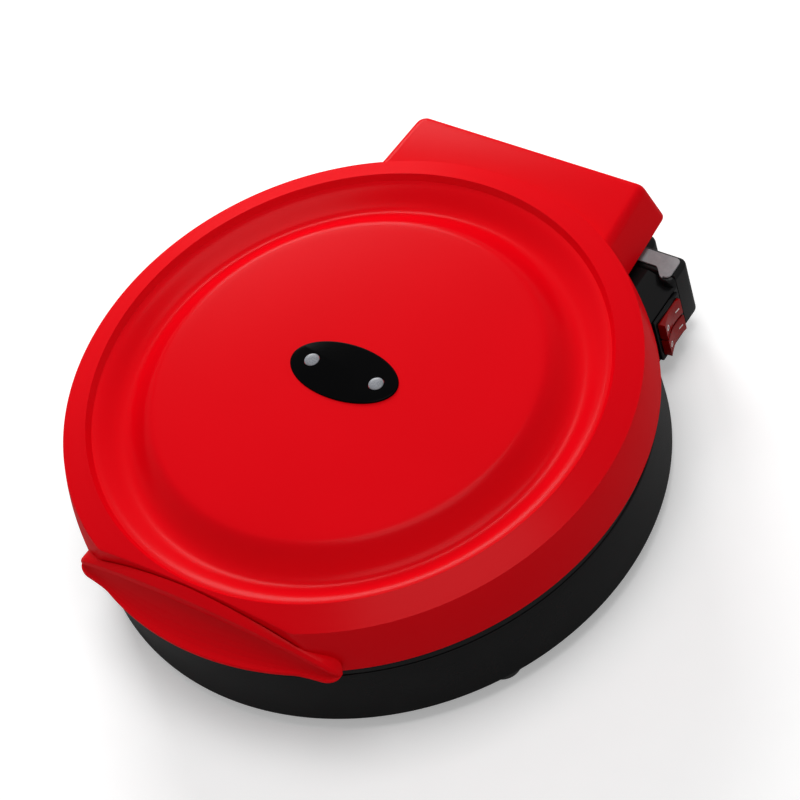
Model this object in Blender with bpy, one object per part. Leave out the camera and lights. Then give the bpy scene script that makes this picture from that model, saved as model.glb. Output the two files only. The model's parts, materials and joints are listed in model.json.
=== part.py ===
"""A round double-sided pancake maker: a black base and a red lid on a floating hinge, each with a heated pan.

The lid's axis is the vertical through the pans' centre. Shapes are drawn with that axis at x = y = 0,
the hinge towards +Y and the handle towards -Y, and stand on z = 0. The whole object is then moved along Y
so that its box is centred on the origin.
"""

import math

import bmesh
import bpy
from mathutils import Matrix, Vector

MM = 0.001

# Clearances
GAP = 0.3 * MM
MERGE = 0.001 * MM
NEARNESS = 1 * MM
SHELL_GAP = 0.4 * MM
RUNNING_GAP = 0.4 * MM
CUT_OVERRUN = 2 * MM
JOIN_OVERLAP = 1.2 * MM

# Facets round a full turn, how far fused shapes and cutters are turned, as shares of one facet, and the
# angle from which an edge is shaded sharp
FINE_STEPS = 64
PLAIN_STEPS = 48
SMALL_STEPS = 20
PIN_STEPS = 16
FUSE_PHASE_SHARE = 0.3
CUT_PHASE_SHARE = 0.7
SHARP_ANGLE = math.radians(32)

# Heights above the surface that the maker stands on
FOOT_HEIGHT = 8 * MM
LID_SEAM = 3.5 * MM

# Base shell and its rim ring
BASE_RADIUS = 158.6 * MM
BASE_DRAFT = 1.2 * MM
BASE_TOP_RADIUS = BASE_RADIUS - BASE_DRAFT
BASE_WALL = 2.5 * MM
BASE_FLOOR = 2.5 * MM
BASE_CHAMFER = 3.5 * MM
BASE_WALL_HEIGHT = 41 * MM
BASE_TOP_HEIGHT = FOOT_HEIGHT + BASE_WALL_HEIGHT
RIM_RING_HEIGHT = 5.2 * MM
RIM_RING_STEP = 0.6 * MM
RIM_RING_WIDTH = 13.2 * MM
RIM_RING_CHAMFER = 0.8 * MM
RIM_RING_TOP_HEIGHT = BASE_TOP_HEIGHT + GAP + RIM_RING_HEIGHT
RIM_RING_BORE = BASE_TOP_RADIUS - RIM_RING_STEP - RIM_RING_WIDTH
LID_EDGE = RIM_RING_TOP_HEIGHT + LID_SEAM

# Pans
PAN_SIDE_GAP = 0.6 * MM
PAN_RADIUS = RIM_RING_BORE - PAN_SIDE_GAP
PAN_RIM_WIDTH = 4 * MM
PAN_WALL_SLOPE = 6 * MM
PAN_THICKNESS = 3 * MM
PAN_PROUD = 0.8 * MM
PAN_MEET_HEIGHT = RIM_RING_TOP_HEIGHT + PAN_PROUD
LOWER_PAN_DEPTH = 17 * MM
UPPER_PAN_DEPTH = 12 * MM
PAN_CORNER = 3 * MM

# Pan pillars, heat shields, heating elements and the small parts on the pans
PILLAR_RADIUS = 6 * MM
PILLAR_NECK_RADIUS = 4.2 * MM
PILLAR_NECK_LENGTH = 12 * MM
PILLAR_INSET = 25 * MM
PILLAR_CIRCLE = PAN_RADIUS - PILLAR_INSET
PILLAR_COUNT = 3
PAN_SCREW_RADIUS = 1.8 * MM
PAN_SCREW_HEAD_RADIUS = 3.6 * MM
PAN_SCREW_HEAD = 2 * MM
SHIELD_INSET = 5 * MM
SHIELD_RADIUS = PAN_RADIUS - SHIELD_INSET
SHIELD_THICKNESS = 0.8 * MM
SHIELD_LIP = 5 * MM
SHIELD_HOLE_RADIUS = 34 * MM
ELEMENT_INSET = 51 * MM
ELEMENT_CIRCLE = PAN_RADIUS - ELEMENT_INSET
ELEMENT_RADIUS = 3.8 * MM
ELEMENT_SIDES = 8
ELEMENT_STEPS = 40
ELEMENT_OPEN_ANGLE = math.radians(24)
ELEMENT_TAIL = 10 * MM
THERMOSTAT_RADIUS = 9 * MM
THERMOSTAT_CAP_RADIUS = 6.5 * MM
THERMOSTAT_BODY = 7 * MM
THERMOSTAT_CAP = 3 * MM
THERMOSTAT_OFFSET = 24 * MM
FUSE_RADIUS = 2.2 * MM
FUSE_LENGTH = 14 * MM
FUSE_OFFSET = 26 * MM

# Feet, round-ended rubber, under the base
FOOT_RADIUS = 10 * MM
FOOT_INSET = 1.1 * MM
FOOT_CIRCLE = BASE_RADIUS - BASE_CHAMFER - FOOT_RADIUS - FOOT_INSET
FOOT_FRONT_ANGLE = math.radians(-31)
FOOT_REAR_ANGLE = math.radians(55)
FOOT_ROUND = 3 * MM
FOOT_RECESS_RADIUS = 4.6 * MM
FOOT_RECESS_DEPTH = 4 * MM
FOOT_SCREW_RADIUS = 1.8 * MM
FOOT_SCREW_HEAD_RADIUS = 3.6 * MM
FOOT_SCREW_HEAD = 2 * MM
FOOT_SCREW_REACH = 5 * MM

# Lid shell, turned: skirt, crease, ridge, moat and crowned dome
LID_OVERHANG = 1.4 * MM
LID_RADIUS = BASE_RADIUS + LID_OVERHANG
LID_WALL = 2.6 * MM
SKIRT_DRAFT = 4 * MM
CREASE_RADIUS = LID_RADIUS - SKIRT_DRAFT
CREASE_RISE = 28 * MM
BAND_WIDTH = 14 * MM
RIDGE_RADIUS = CREASE_RADIUS - BAND_WIDTH
RIDGE_RISE = 33.2 * MM
RIDGE_WIDTH = 2.4 * MM
RIDGE_DROP = 3.4 * MM
MOAT_HALF = 20 * MM
MOAT_RADIUS = RIDGE_RADIUS - MOAT_HALF
MOAT_RISE = 25 * MM
SHOULDER_RUN = 17 * MM
SHOULDER_RADIUS = MOAT_RADIUS - SHOULDER_RUN
SHOULDER_RISE = 34 * MM
CROWN_RISE = 36.7 * MM
CROWN_STEPS = 5
MOAT_STEPS = 4
SKIRT_BOW = 0.8 * MM

# Hinge cover, one moulding with the lid
COVER_ROOT = 30 * MM
COVER_FRONT_REACH = LID_RADIUS - COVER_ROOT
COVER_LENGTH = 25 * MM
COVER_REAR_REACH = LID_RADIUS + COVER_LENGTH
COVER_REAR_DRAFT = 1.8 * MM
COVER_FRONT_HALF = 84.5 * MM
COVER_FLARE = 3 * MM
COVER_REAR_HALF = COVER_FRONT_HALF - COVER_FLARE
COVER_SIDE_DRAFT = 8 * MM
COVER_RISE = 22 * MM
COVER_DROP = 1 * MM
COVER_ROUND = 4 * MM
COVER_ROUND_STEPS = 3
COVER_WALL = 2.6 * MM

# Lid handle, set into the front of the lid
HANDLE_HALF = 84 * MM
HANDLE_BACK_GAP = 1.8 * MM
HANDLE_BACK_REACH = RIDGE_RADIUS + HANDLE_BACK_GAP
HANDLE_CREST_WIDTH = 5.2 * MM
HANDLE_CREST_REACH = HANDLE_BACK_REACH + HANDLE_CREST_WIDTH
HANDLE_TIP_SWEEP = 4.2 * MM
HANDLE_TIP_CREST_REACH = HANDLE_CREST_REACH - HANDLE_TIP_SWEEP
HANDLE_FLANGE = 3 * MM
HANDLE_FRONT_RADIUS = LID_RADIUS + HANDLE_FLANGE
HANDLE_TIP_WIDTH = 2.7 * MM
HANDLE_TIP_FRONT_REACH = HANDLE_TIP_CREST_REACH + HANDLE_TIP_WIDTH
HANDLE_FLARE_FROM = 60 * MM
HANDLE_CREST_RISE = 28 * MM
HANDLE_TIP_RISE = 9 * MM
HANDLE_TOP_RISE = 3.4 * MM
HANDLE_LIP = 5.5 * MM
HANDLE_LIP_ROUND = 1.2 * MM
HANDLE_UNDERCUT = 1.6 * MM
HANDLE_FOOT_THICKNESS = 2.6 * MM
HANDLE_STATIONS = 22
HANDLE_TIP_SHRINK_SHARE = 0.45
HANDLE_HOLLOW_SHARES = ((0, 1), (0.28, 0.52), (0.62, 0.22), (1, 0))
HANDLE_SKIRT_GAP = 0.7 * MM

# Badge plate and indicator lamps on the dome
BADGE_HALF_LENGTH = 33 * MM
BADGE_HALF_WIDTH = 17.5 * MM
BADGE_THICKNESS = 1.6 * MM
BADGE_SEAT = 1 * MM
BADGE_STEPS = 40
LAMP_OFFSET = 20.7 * MM
LENS_RADIUS = 4 * MM
LENS_LENGTH = 6 * MM
LENS_PROUD = 0.5 * MM
LAMP_RADIUS = 2.8 * MM
LAMP_LENGTH = 8 * MM
LID_SCREW_OFFSET = 10 * MM
LID_PILLAR_RADIUS = 4.6 * MM
LID_SCREW_RADIUS = 1.8 * MM
LID_SCREW_HEAD_RADIUS = 3.2 * MM
LID_SCREW_HEAD = 1.2 * MM

# Inner ring that closes the lid between its skirt and the upper pan
LID_RING_HEIGHT = 3 * MM
LID_RING_DROP = 0.8 * MM

# Hinge: two legs that slide up and down in the base's housing, a pin, and brackets inside the cover
PIN_INSET = 12 * MM
PIN_REACH = COVER_REAR_REACH - PIN_INSET
PIN_RISE = 4 * MM
PIN_HEIGHT = LID_EDGE + PIN_RISE
PIN_RADIUS = 3 * MM
LEG_INSET = 36.5 * MM
LEG_CENTRE = COVER_REAR_HALF - LEG_INSET
PIN_END = 16 * MM
PIN_HALF = LEG_CENTRE + PIN_END
LEG_WIDTH = 12 * MM
LEG_THICKNESS = 6 * MM
LEG_EYE_RADIUS = 6.5 * MM
LEG_FLOOR = 4 * MM
BRACKET_THICKNESS = 3 * MM
BRACKET_EYE_RADIUS = 5.4 * MM
BRACKET_LENGTH = 26 * MM
BRACKET_SIDE_GAP = 0.8 * MM
NOTCH_SIDE_GAP = 1.6 * MM
NOTCH_RISE = 9 * MM
NOTCH_TOP_HEIGHT = PIN_HEIGHT + NOTCH_RISE
COLLAR_LENGTH = 2 * MM
COLLAR_RADIUS = 4.6 * MM

# Hinge housing behind the base
HOUSING_SIDE_INSET = 6.5 * MM
HOUSING_HALF = COVER_REAR_HALF - HOUSING_SIDE_INSET
HOUSING_REAR = 9 * MM
HOUSING_REAR_REACH = PIN_REACH + HOUSING_REAR
HOUSING_ROOT = 40 * MM
HOUSING_FRONT_REACH = LID_RADIUS - HOUSING_ROOT
HOUSING_LIFT = 2 * MM
HOUSING_BOTTOM_HEIGHT = FOOT_HEIGHT + HOUSING_LIFT
HOUSING_DROP = 23 * MM
HOUSING_TOP_HEIGHT = PIN_HEIGHT - HOUSING_DROP
HOUSING_ROUND = 4 * MM
LEG_BOTTOM_HEIGHT = HOUSING_BOTTOM_HEIGHT + LEG_FLOOR

# Switch box on the right of the housing; its outer side stands off the base's round wall, so that the switch
# clears the wall
BOX_SIDE_GAP = 0.6 * MM
BOX_INNER_REACH = HOUSING_HALF + BOX_SIDE_GAP
BOX_REAR_GAP = 8.5 * MM
BOX_REAR_REACH = PIN_REACH - BOX_REAR_GAP
BOX_CAP_LENGTH = 14.9 * MM
BOX_SEAM_REACH = BOX_REAR_REACH - BOX_CAP_LENGTH
BOX_LENGTH = 41.6 * MM
BOX_FRONT_REACH = BOX_SEAM_REACH - BOX_LENGTH
BEZEL_LENGTH = 25.5 * MM
BEZEL_HEIGHT = 31 * MM
BEZEL_THICKNESS = 1.8 * MM
BEZEL_SEAM_GAP = 2.35 * MM
BEZEL_CENTRE_REACH = BOX_SEAM_REACH - BEZEL_SEAM_GAP - BEZEL_LENGTH / 2
BEZEL_FRONT_REACH = BEZEL_CENTRE_REACH - BEZEL_LENGTH / 2
BOX_STANDOFF = 4.36 * MM
BOX_OUTER_REACH = math.sqrt(BASE_RADIUS**2 - BEZEL_FRONT_REACH**2) + BOX_STANDOFF
BOX_WIDTH = BOX_OUTER_REACH - BOX_INNER_REACH
BOX_LIFT = 4 * MM
BOX_BOTTOM_HEIGHT = FOOT_HEIGHT + BOX_LIFT
BOX_DROP = 5.8 * MM
BOX_TOP_HEIGHT = LID_EDGE - BOX_DROP
BOX_SLOPE_SHARE = 0.543
BOX_SLOPE_START = BOX_OUTER_REACH - BOX_WIDTH * BOX_SLOPE_SHARE
BOX_SLOPE_DROP = 6 * MM
BOX_WALL = 2.4 * MM
BOX_ROUND = 3 * MM
BOX_FILLET_SHARE = 0.3
TOWER_LEAD = 4 * MM
TOWER_FRONT_REACH = BOX_SEAM_REACH - TOWER_LEAD
TOWER_WIDTH_SHARE = 0.296
TOWER_INNER_REACH = BOX_OUTER_REACH - BOX_WIDTH * TOWER_WIDTH_SHARE
PAD_THICKNESS = 0.8 * MM
PAD_MARGIN = 2.6 * MM
PAD_SETBACK = 3.4 * MM
PAD_STRAIGHT_REACH = BOX_SEAM_REACH + PAD_SETBACK
PAD_CORNER = 3 * MM
PAD_CORNER_STEPS = 4

# Twin rocker switch in the switch box
BEZEL_LIFT = 2.1 * MM
BEZEL_CENTRE_HEIGHT = BOX_BOTTOM_HEIGHT + BEZEL_LIFT + BEZEL_HEIGHT / 2
BEZEL_BODY_MARGIN = 1.7 * MM
BEZEL_BODY_DEPTH = 6.2 * MM
ROCKER_LENGTH = 20 * MM
ROCKER_WIDTH = 12 * MM
ROCKER_POCKET_GAP = 0.8 * MM
ROCKER_POCKET_DEPTH = 7 * MM
ROCKER_PROUD = 3 * MM
ROCKER_WAIST = 1.2 * MM
ROCKER_BELLY = 4.5 * MM
ROCKER_BELLY_SHARE = 0.333
ROCKER_PIVOT_DEPTH = 1.5 * MM
ROCKER_TILT = math.radians(7)

# Terminal block and cord gland
TERMINAL_LENGTH = 30 * MM
TERMINAL_WIDTH = 12 * MM
TERMINAL_HEIGHT = 9 * MM
TERMINAL_GAP = 8 * MM
TERMINAL_REACH = PILLAR_CIRCLE + TERMINAL_GAP
GLAND_RADIUS = 6.5 * MM
GLAND_FLANGE_RADIUS = 9 * MM
GLAND_FLANGE = 1.6 * MM
GLAND_BORE_RADIUS = 3.6 * MM
GLAND_PROUD = 2.6 * MM
GLAND_SEAT = 6 * MM
GLAND_OFFSET = 12 * MM
GLAND_LIFT = 15 * MM
GLAND_HEIGHT = HOUSING_BOTTOM_HEIGHT + GLAND_LIFT

# Places worked out from the sizes above
CROWN_HEIGHT = LID_EDGE + CROWN_RISE
FRONT_REACH = HANDLE_FRONT_RADIUS
AXIS_Y = (FRONT_REACH - COVER_REAR_REACH) / 2
FLOOR_TOP = FOOT_HEIGHT + BASE_FLOOR
LOWER_PAN_SURFACE = PAN_MEET_HEIGHT - GAP - LOWER_PAN_DEPTH
LOWER_PAN_BACK = LOWER_PAN_SURFACE - PAN_THICKNESS
UPPER_PAN_SURFACE = PAN_MEET_HEIGHT + GAP + UPPER_PAN_DEPTH
UPPER_PAN_BACK = UPPER_PAN_SURFACE + PAN_THICKNESS
LID_RING_RADIUS = LID_RADIUS - LID_WALL - 3 * GAP
LID_RING_TOP_RISE = LID_RING_HEIGHT - LID_RING_DROP


def material(name, color, roughness, metallic=0.0):
    """A plain Principled material of this colour, roughness and metallic value."""
    made = bpy.data.materials.new(name)
    made.use_nodes = True
    shader = made.node_tree.nodes["Principled BSDF"]
    shader.inputs["Base Color"].default_value = (*color, 1.0)
    shader.inputs["Roughness"].default_value = roughness
    shader.inputs["Metallic"].default_value = metallic
    made.diffuse_color = (*color, 1.0)
    return made


def clear_scene():
    """Removes every object of the scene that this runs in."""
    for old in list(bpy.data.objects):
        bpy.data.objects.remove(old, do_unlink=True)


class Workshop:
    """Makes objects from finished bmeshes and seats them on the axis that they turn or slide on."""

    def __init__(self):
        self.red = material("red_lacquer", (0.62, 0.004, 0.010), 0.30)
        self.black = material("black_plastic", (0.012, 0.012, 0.013), 0.42)
        self.gloss_black = material("badge_black", (0.004, 0.004, 0.004), 0.15)
        self.grey = material("grey_pad", (0.30, 0.30, 0.30), 0.60)
        self.lens = material("lamp_grey", (0.36, 0.36, 0.37), 0.35)
        self.rocker_red = material("rocker_red", (0.42, 0.008, 0.006), 0.20)
        self.pan_coating = material("pan_coating", (0.025, 0.025, 0.027), 0.45)
        self.steel = material("steel", (0.55, 0.55, 0.56), 0.32, 1.0)
        self.tin = material("tinplate", (0.60, 0.60, 0.58), 0.40, 1.0)
        self.rubber = material("rubber", (0.02, 0.02, 0.02), 0.85)
        self.ceramic = material("thermostat_cream", (0.62, 0.58, 0.48), 0.50)
        self.glow = material("lamp_orange", (0.75, 0.28, 0.08), 0.25)
        self.nylon = material("terminal_white", (0.75, 0.75, 0.72), 0.45)
        self.base_axis = self.axis("base_axis", (0, 0, 0))

    def axis(self, name, place):
        """An empty at a place given from the lid's axis, for pieces to hang on."""
        empty = bpy.data.objects.new(name, None)
        empty.location = Vector(place) + Vector((0, AXIS_Y, 0))
        bpy.context.scene.collection.objects.link(empty)
        return empty

    def piece(self, name, mesh_work, finish, axis=None, cutter=False):
        """The object of this name from a bmesh whose points are measured from the lid's axis."""
        bmesh.ops.remove_doubles(mesh_work, verts=mesh_work.verts, dist=MERGE)
        bmesh.ops.recalc_face_normals(mesh_work, faces=mesh_work.faces)
        data = bpy.data.meshes.new(name)
        mesh_work.to_mesh(data)
        mesh_work.free()
        made = bpy.data.objects.new(name, data)
        bpy.context.scene.collection.objects.link(made)
        carrier = axis or self.base_axis
        made.parent = carrier
        made.location = Vector((0, AXIS_Y, 0)) - carrier.location
        if cutter:
            made.hide_render = True
            made.display_type = "WIRE"
            return made
        data.materials.append(finish)
        data.shade_smooth()
        data.set_sharp_from_angle(angle=SHARP_ANGLE)
        return made

    def combine(self, target, helper, operation):
        """Joins the helper to the target, or cuts or keeps with it, through a Boolean modifier."""
        step = target.modifiers.new(helper.name, "BOOLEAN")
        step.operation = operation
        step.object = helper
        step.solver = "EXACT"

    def cut(self, target, name, mesh_work):
        """Cuts the shape of a bmesh out of the target."""
        helper = self.piece(name, mesh_work, None, cutter=True)
        helper.parent = target.parent
        helper.location = target.location
        self.combine(target, helper, "DIFFERENCE")

    def fuse(self, target, name, mesh_work):
        """Joins the shape of a bmesh to the target."""
        helper = self.piece(name, mesh_work, None, cutter=True)
        helper.parent = target.parent
        helper.location = target.location
        self.combine(target, helper, "UNION")


def turned(profile, steps, place=(0, 0, 0), axis=(0, 0, 1), phase_share=0.0):
    """A bmesh turned from a closed outline of (radius, height) points about a line through a place.

    Its corners start a share of a facet on, so that they miss the corners of what they join or cut.
    """
    work = bmesh.new()
    points = [work.verts.new((radius, 0, height)) for radius, height in profile]
    edges = [work.edges.new(pair) for pair in zip(points, points[1:] + points[:1])]
    bmesh.ops.spin(
        work, geom=points + edges, cent=(0, 0, 0), axis=(0, 0, 1), angle=math.tau, steps=steps, use_merge=True
    )
    bmesh.ops.remove_doubles(work, verts=work.verts, dist=MERGE)
    bmesh.ops.dissolve_degenerate(work, edges=work.edges, dist=MERGE)
    turn = Vector((0, 0, 1)).rotation_difference(Vector(axis)).to_matrix().to_4x4()
    phase = Matrix.Rotation(phase_share * math.tau / steps, 4, "Z")
    bmesh.ops.transform(work, matrix=Matrix.Translation(place) @ turn @ phase, verts=work.verts)
    return work


def rod(radius, start, length, steps, place=(0, 0), axis=(0, 0, 1), phase_share=0.0):
    """A plain cylinder that starts at a height over a place and runs along an axis."""
    profile = ((0, 0), (radius, 0), (radius, length), (0, length))
    return turned(profile, steps, (place[0], place[1], start), axis, phase_share)


def block(low, high, round_radius=0.0, round_steps=2, keep=None):
    """A box between two corners, its edges rounded where keep(edge) says so."""
    work = bmesh.new()
    bmesh.ops.create_cube(work, size=1)
    for vert in work.verts:
        vert.co = Vector(far if place > 0 else near for near, far, place in zip(low, high, vert.co))
    if round_radius:
        edges = [edge for edge in work.edges if keep is None or keep(edge)]
        bmesh.ops.bevel(
            work,
            geom=edges,
            offset=round_radius,
            segments=round_steps,
            profile=0.5,
            affect="EDGES",
            clamp_overlap=True,
        )
    return work


def extruded(outline, low, high, axis="Z"):
    """A flat outline carried along X, Y or Z; its two numbers are places on the other two axes, in order."""
    orders = {
        "X": lambda a, b, c: (c, a, b),
        "Y": lambda a, b, c: (a, c, b),
        "Z": lambda a, b, c: (a, b, c),
    }
    order = orders[axis]
    work = bmesh.new()
    face = work.faces.new([work.verts.new(order(a, b, low)) for a, b in outline])
    grown = bmesh.ops.extrude_face_region(work, geom=[face])["geom"]
    shift = Vector(order(0, 0, high - low))
    moved = [item for item in grown if isinstance(item, bmesh.types.BMVert)]
    bmesh.ops.translate(work, vec=shift, verts=moved)
    return work


def circle_place(radius, angle):
    """The point at this angle on a circle about the lid's axis."""
    return radius * math.cos(angle), radius * math.sin(angle)


def ring_places(count, radius, first):
    """The points of a circle of this many equal steps, from a first angle on."""
    return [circle_place(radius, first + math.tau * step / count) for step in range(count)]


def eased(start, end, steps):
    """Points between two (radius, rise) points along half a cosine wave, both ends included."""
    shares = [step / steps for step in range(steps + 1)]
    waves = [(1 - math.cos(math.pi * share)) / 2 for share in shares]
    return [
        (start[0] + (end[0] - start[0]) * share, start[1] + (end[1] - start[1]) * wave)
        for share, wave in zip(shares, waves)
    ]


def lid_outline():
    """The lid's outer outline from its lower edge over the ridge, the moat and the shoulder to the crown."""
    skirt_middle = ((LID_RADIUS + CREASE_RADIUS) / 2 + SKIRT_BOW, CREASE_RISE / 2)
    ridge_inside = (RIDGE_RADIUS - RIDGE_WIDTH, RIDGE_RISE - RIDGE_DROP)
    points = [(LID_RADIUS, 0), skirt_middle, (CREASE_RADIUS, CREASE_RISE), (RIDGE_RADIUS, RIDGE_RISE)]
    points += eased(ridge_inside, (MOAT_RADIUS, MOAT_RISE), MOAT_STEPS)
    points += eased((MOAT_RADIUS, MOAT_RISE), (SHOULDER_RADIUS, SHOULDER_RISE), MOAT_STEPS)[1:]
    for step in range(1, CROWN_STEPS + 1):
        radius = SHOULDER_RADIUS * (1 - step / CROWN_STEPS)
        share = 1 - (radius / SHOULDER_RADIUS) ** 2
        points.append((radius, SHOULDER_RISE + (CROWN_RISE - SHOULDER_RISE) * share))
    return points


def lid_inner_outline():
    """The lid's inner outline: a wall's thickness inside the outer one, and plain under the ridge."""
    crown = CROWN_RISE - LID_WALL
    shoulder = (SHOULDER_RADIUS - LID_WALL, SHOULDER_RISE - LID_WALL)
    moat = (MOAT_RADIUS, MOAT_RISE - LID_WALL)
    ridge = (RIDGE_RADIUS, RIDGE_RISE - RIDGE_DROP - LID_WALL)
    crease = (CREASE_RADIUS - LID_WALL, CREASE_RISE - LID_WALL)
    edge = LID_RADIUS - LID_WALL
    return [(edge, 0), crease, ridge, moat, shoulder, (0, crown)]


def closed_below(points, drop):
    """A closed outline for turning: the points stood on the lid's edge, over a flat underside."""
    upper = [(radius, LID_EDGE + rise) for radius, rise in points]
    return upper + [(0, LID_EDGE - drop), (points[0][0], LID_EDGE - drop)]


def cover_block(inset, drop):
    """The hinge cover's tapered block, made smaller by an inset on its sides, rear and top."""
    low, high = LID_EDGE - drop, LID_EDGE + COVER_RISE - inset
    side_top = COVER_SIDE_DRAFT
    corners = []
    for height, draft, rear_draft in ((low, 0, 0), (high, side_top, COVER_REAR_DRAFT)):
        front_half = COVER_FRONT_HALF - draft - inset
        rear_half = COVER_REAR_HALF - draft - inset
        rear = COVER_REAR_REACH - rear_draft - inset
        corners.append([
            (-front_half, COVER_FRONT_REACH, height),
            (front_half, COVER_FRONT_REACH, height),
            (rear_half, rear, height),
            (-rear_half, rear, height),
        ])
    work = bmesh.new()
    below, above = ([work.verts.new(corner) for corner in ring] for ring in corners)
    work.faces.new(below[::-1])
    work.faces.new(above)
    for index in range(4):
        after = (index + 1) % 4
        work.faces.new((below[index], below[after], above[after], above[index]))
    radius = COVER_ROUND - inset / 2
    front = COVER_FRONT_REACH + NEARNESS
    edges = []
    for edge in work.edges:
        ends = [vert.co for vert in edge.verts]
        above_bottom = max(end.z for end in ends) > low + NEARNESS
        if above_bottom and max(end.y for end in ends) > front:
            edges.append(edge)
    bmesh.ops.bevel(work, geom=edges, offset=radius, segments=COVER_ROUND_STEPS, profile=0.5, affect="EDGES")
    return work


class HandleSizes:
    """The handle's reaches to the front and its heights above the lid's edge, at a place across."""

    def __init__(self, across):
        self.share = min(abs(across) / HANDLE_HALF, 1)
        skirt = math.sqrt((LID_RADIUS + HANDLE_SKIRT_GAP) ** 2 - across**2)
        self.back = min(HANDLE_BACK_REACH, skirt)
        self.crest = HANDLE_CREST_REACH + (HANDLE_TIP_CREST_REACH - HANDLE_CREST_REACH) * self.share**2
        self.rise = HANDLE_TIP_RISE + (HANDLE_CREST_RISE - HANDLE_TIP_RISE) * (1 - self.share**2)
        self.top = self.rise + HANDLE_TOP_RISE * (1 - self.share)
        round_step = math.sqrt((LID_RING_RADIUS + GAP) ** 2 - across**2)
        self.step = max(self.back + GAP, round_step)
        flare = max(0, (abs(across) - HANDLE_FLARE_FROM) / (HANDLE_HALF - HANDLE_FLARE_FROM))
        tip_gain = HANDLE_TIP_FRONT_REACH - math.sqrt(HANDLE_FRONT_RADIUS**2 - HANDLE_HALF**2)
        self.front = math.sqrt(HANDLE_FRONT_RADIUS**2 - across**2) + tip_gain * flare * math.sqrt(flare)


def handle_section(sizes):
    """The handle's cross-section as (reach, rise) points: flat back, lip, and a hollow face that flares out."""
    lip = HANDLE_LIP * (1 - sizes.share / 2)
    under = sizes.crest - HANDLE_UNDERCUT
    fall = sizes.rise - lip - 2 * HANDLE_LIP_ROUND
    thick = HANDLE_FOOT_THICKNESS
    run = sizes.front - under
    hollow = [(under + run * out, thick + (fall - thick) * up) for out, up in HANDLE_HOLLOW_SHARES]
    return [
        (sizes.step, 0),
        (sizes.step, LID_RING_TOP_RISE + GAP),
        (sizes.back, LID_RING_TOP_RISE + GAP),
        (sizes.back, sizes.top),
        (sizes.crest - HANDLE_LIP_ROUND * 2, sizes.rise + HANDLE_LIP_ROUND / 2),
        (sizes.crest - HANDLE_LIP_ROUND / 2, sizes.rise),
        (sizes.crest, sizes.rise - HANDLE_LIP_ROUND),
        (sizes.crest, sizes.rise - lip),
        *hollow,
        (sizes.front - HANDLE_LIP_ROUND / 2, 0),
    ]


def handle_seat_section(sizes):
    """What is cut out of the lid for the handle: its space with a gap, and all in front of its lip."""
    below, above = -CUT_OVERRUN, CROWN_RISE + CUT_OVERRUN
    ledge = sizes.crest - HANDLE_LIP_ROUND * 2
    ahead = sizes.front + 2 * CUT_OVERRUN
    return [
        (sizes.back - GAP, below),
        (sizes.back - GAP, sizes.top + GAP),
        (ledge, sizes.rise + HANDLE_LIP_ROUND / 2 + GAP),
        (ledge, above),
        (ahead, above),
        (ahead, below),
    ]


def handle_loft(section, tip_shrink):
    """A loft through the handle's sections from tip to tip, the last section at each tip drawn in."""
    work = bmesh.new()
    rings = []
    for station in range(HANDLE_STATIONS + 1):
        across = -HANDLE_HALF * math.cos(math.pi * station / HANDLE_STATIONS)
        outline = section(HandleSizes(across))
        if station in (0, HANDLE_STATIONS):
            centre_reach, centre_rise = (sum(values) / len(outline) for values in zip(*outline))
            centre = Vector((centre_reach, centre_rise))
            outline = [tuple(centre.lerp(Vector(point), tip_shrink)) for point in outline]
        rings.append([work.verts.new((across, -reach, LID_EDGE + rise)) for reach, rise in outline])
    for ring, after in zip(rings, rings[1:]):
        count = len(ring)
        for index in range(count):
            other = (index + 1) % count
            work.faces.new((ring[index], ring[other], after[other], after[index]))
    work.faces.new(rings[0])
    work.faces.new(rings[-1])
    return work


def ellipse_outline(half_length, half_width, steps):
    """The corners of an ellipse about the lid's axis."""
    turns = [math.tau * step / steps for step in range(steps)]
    return [(half_length * math.cos(turn), half_width * math.sin(turn)) for turn in turns]


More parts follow.
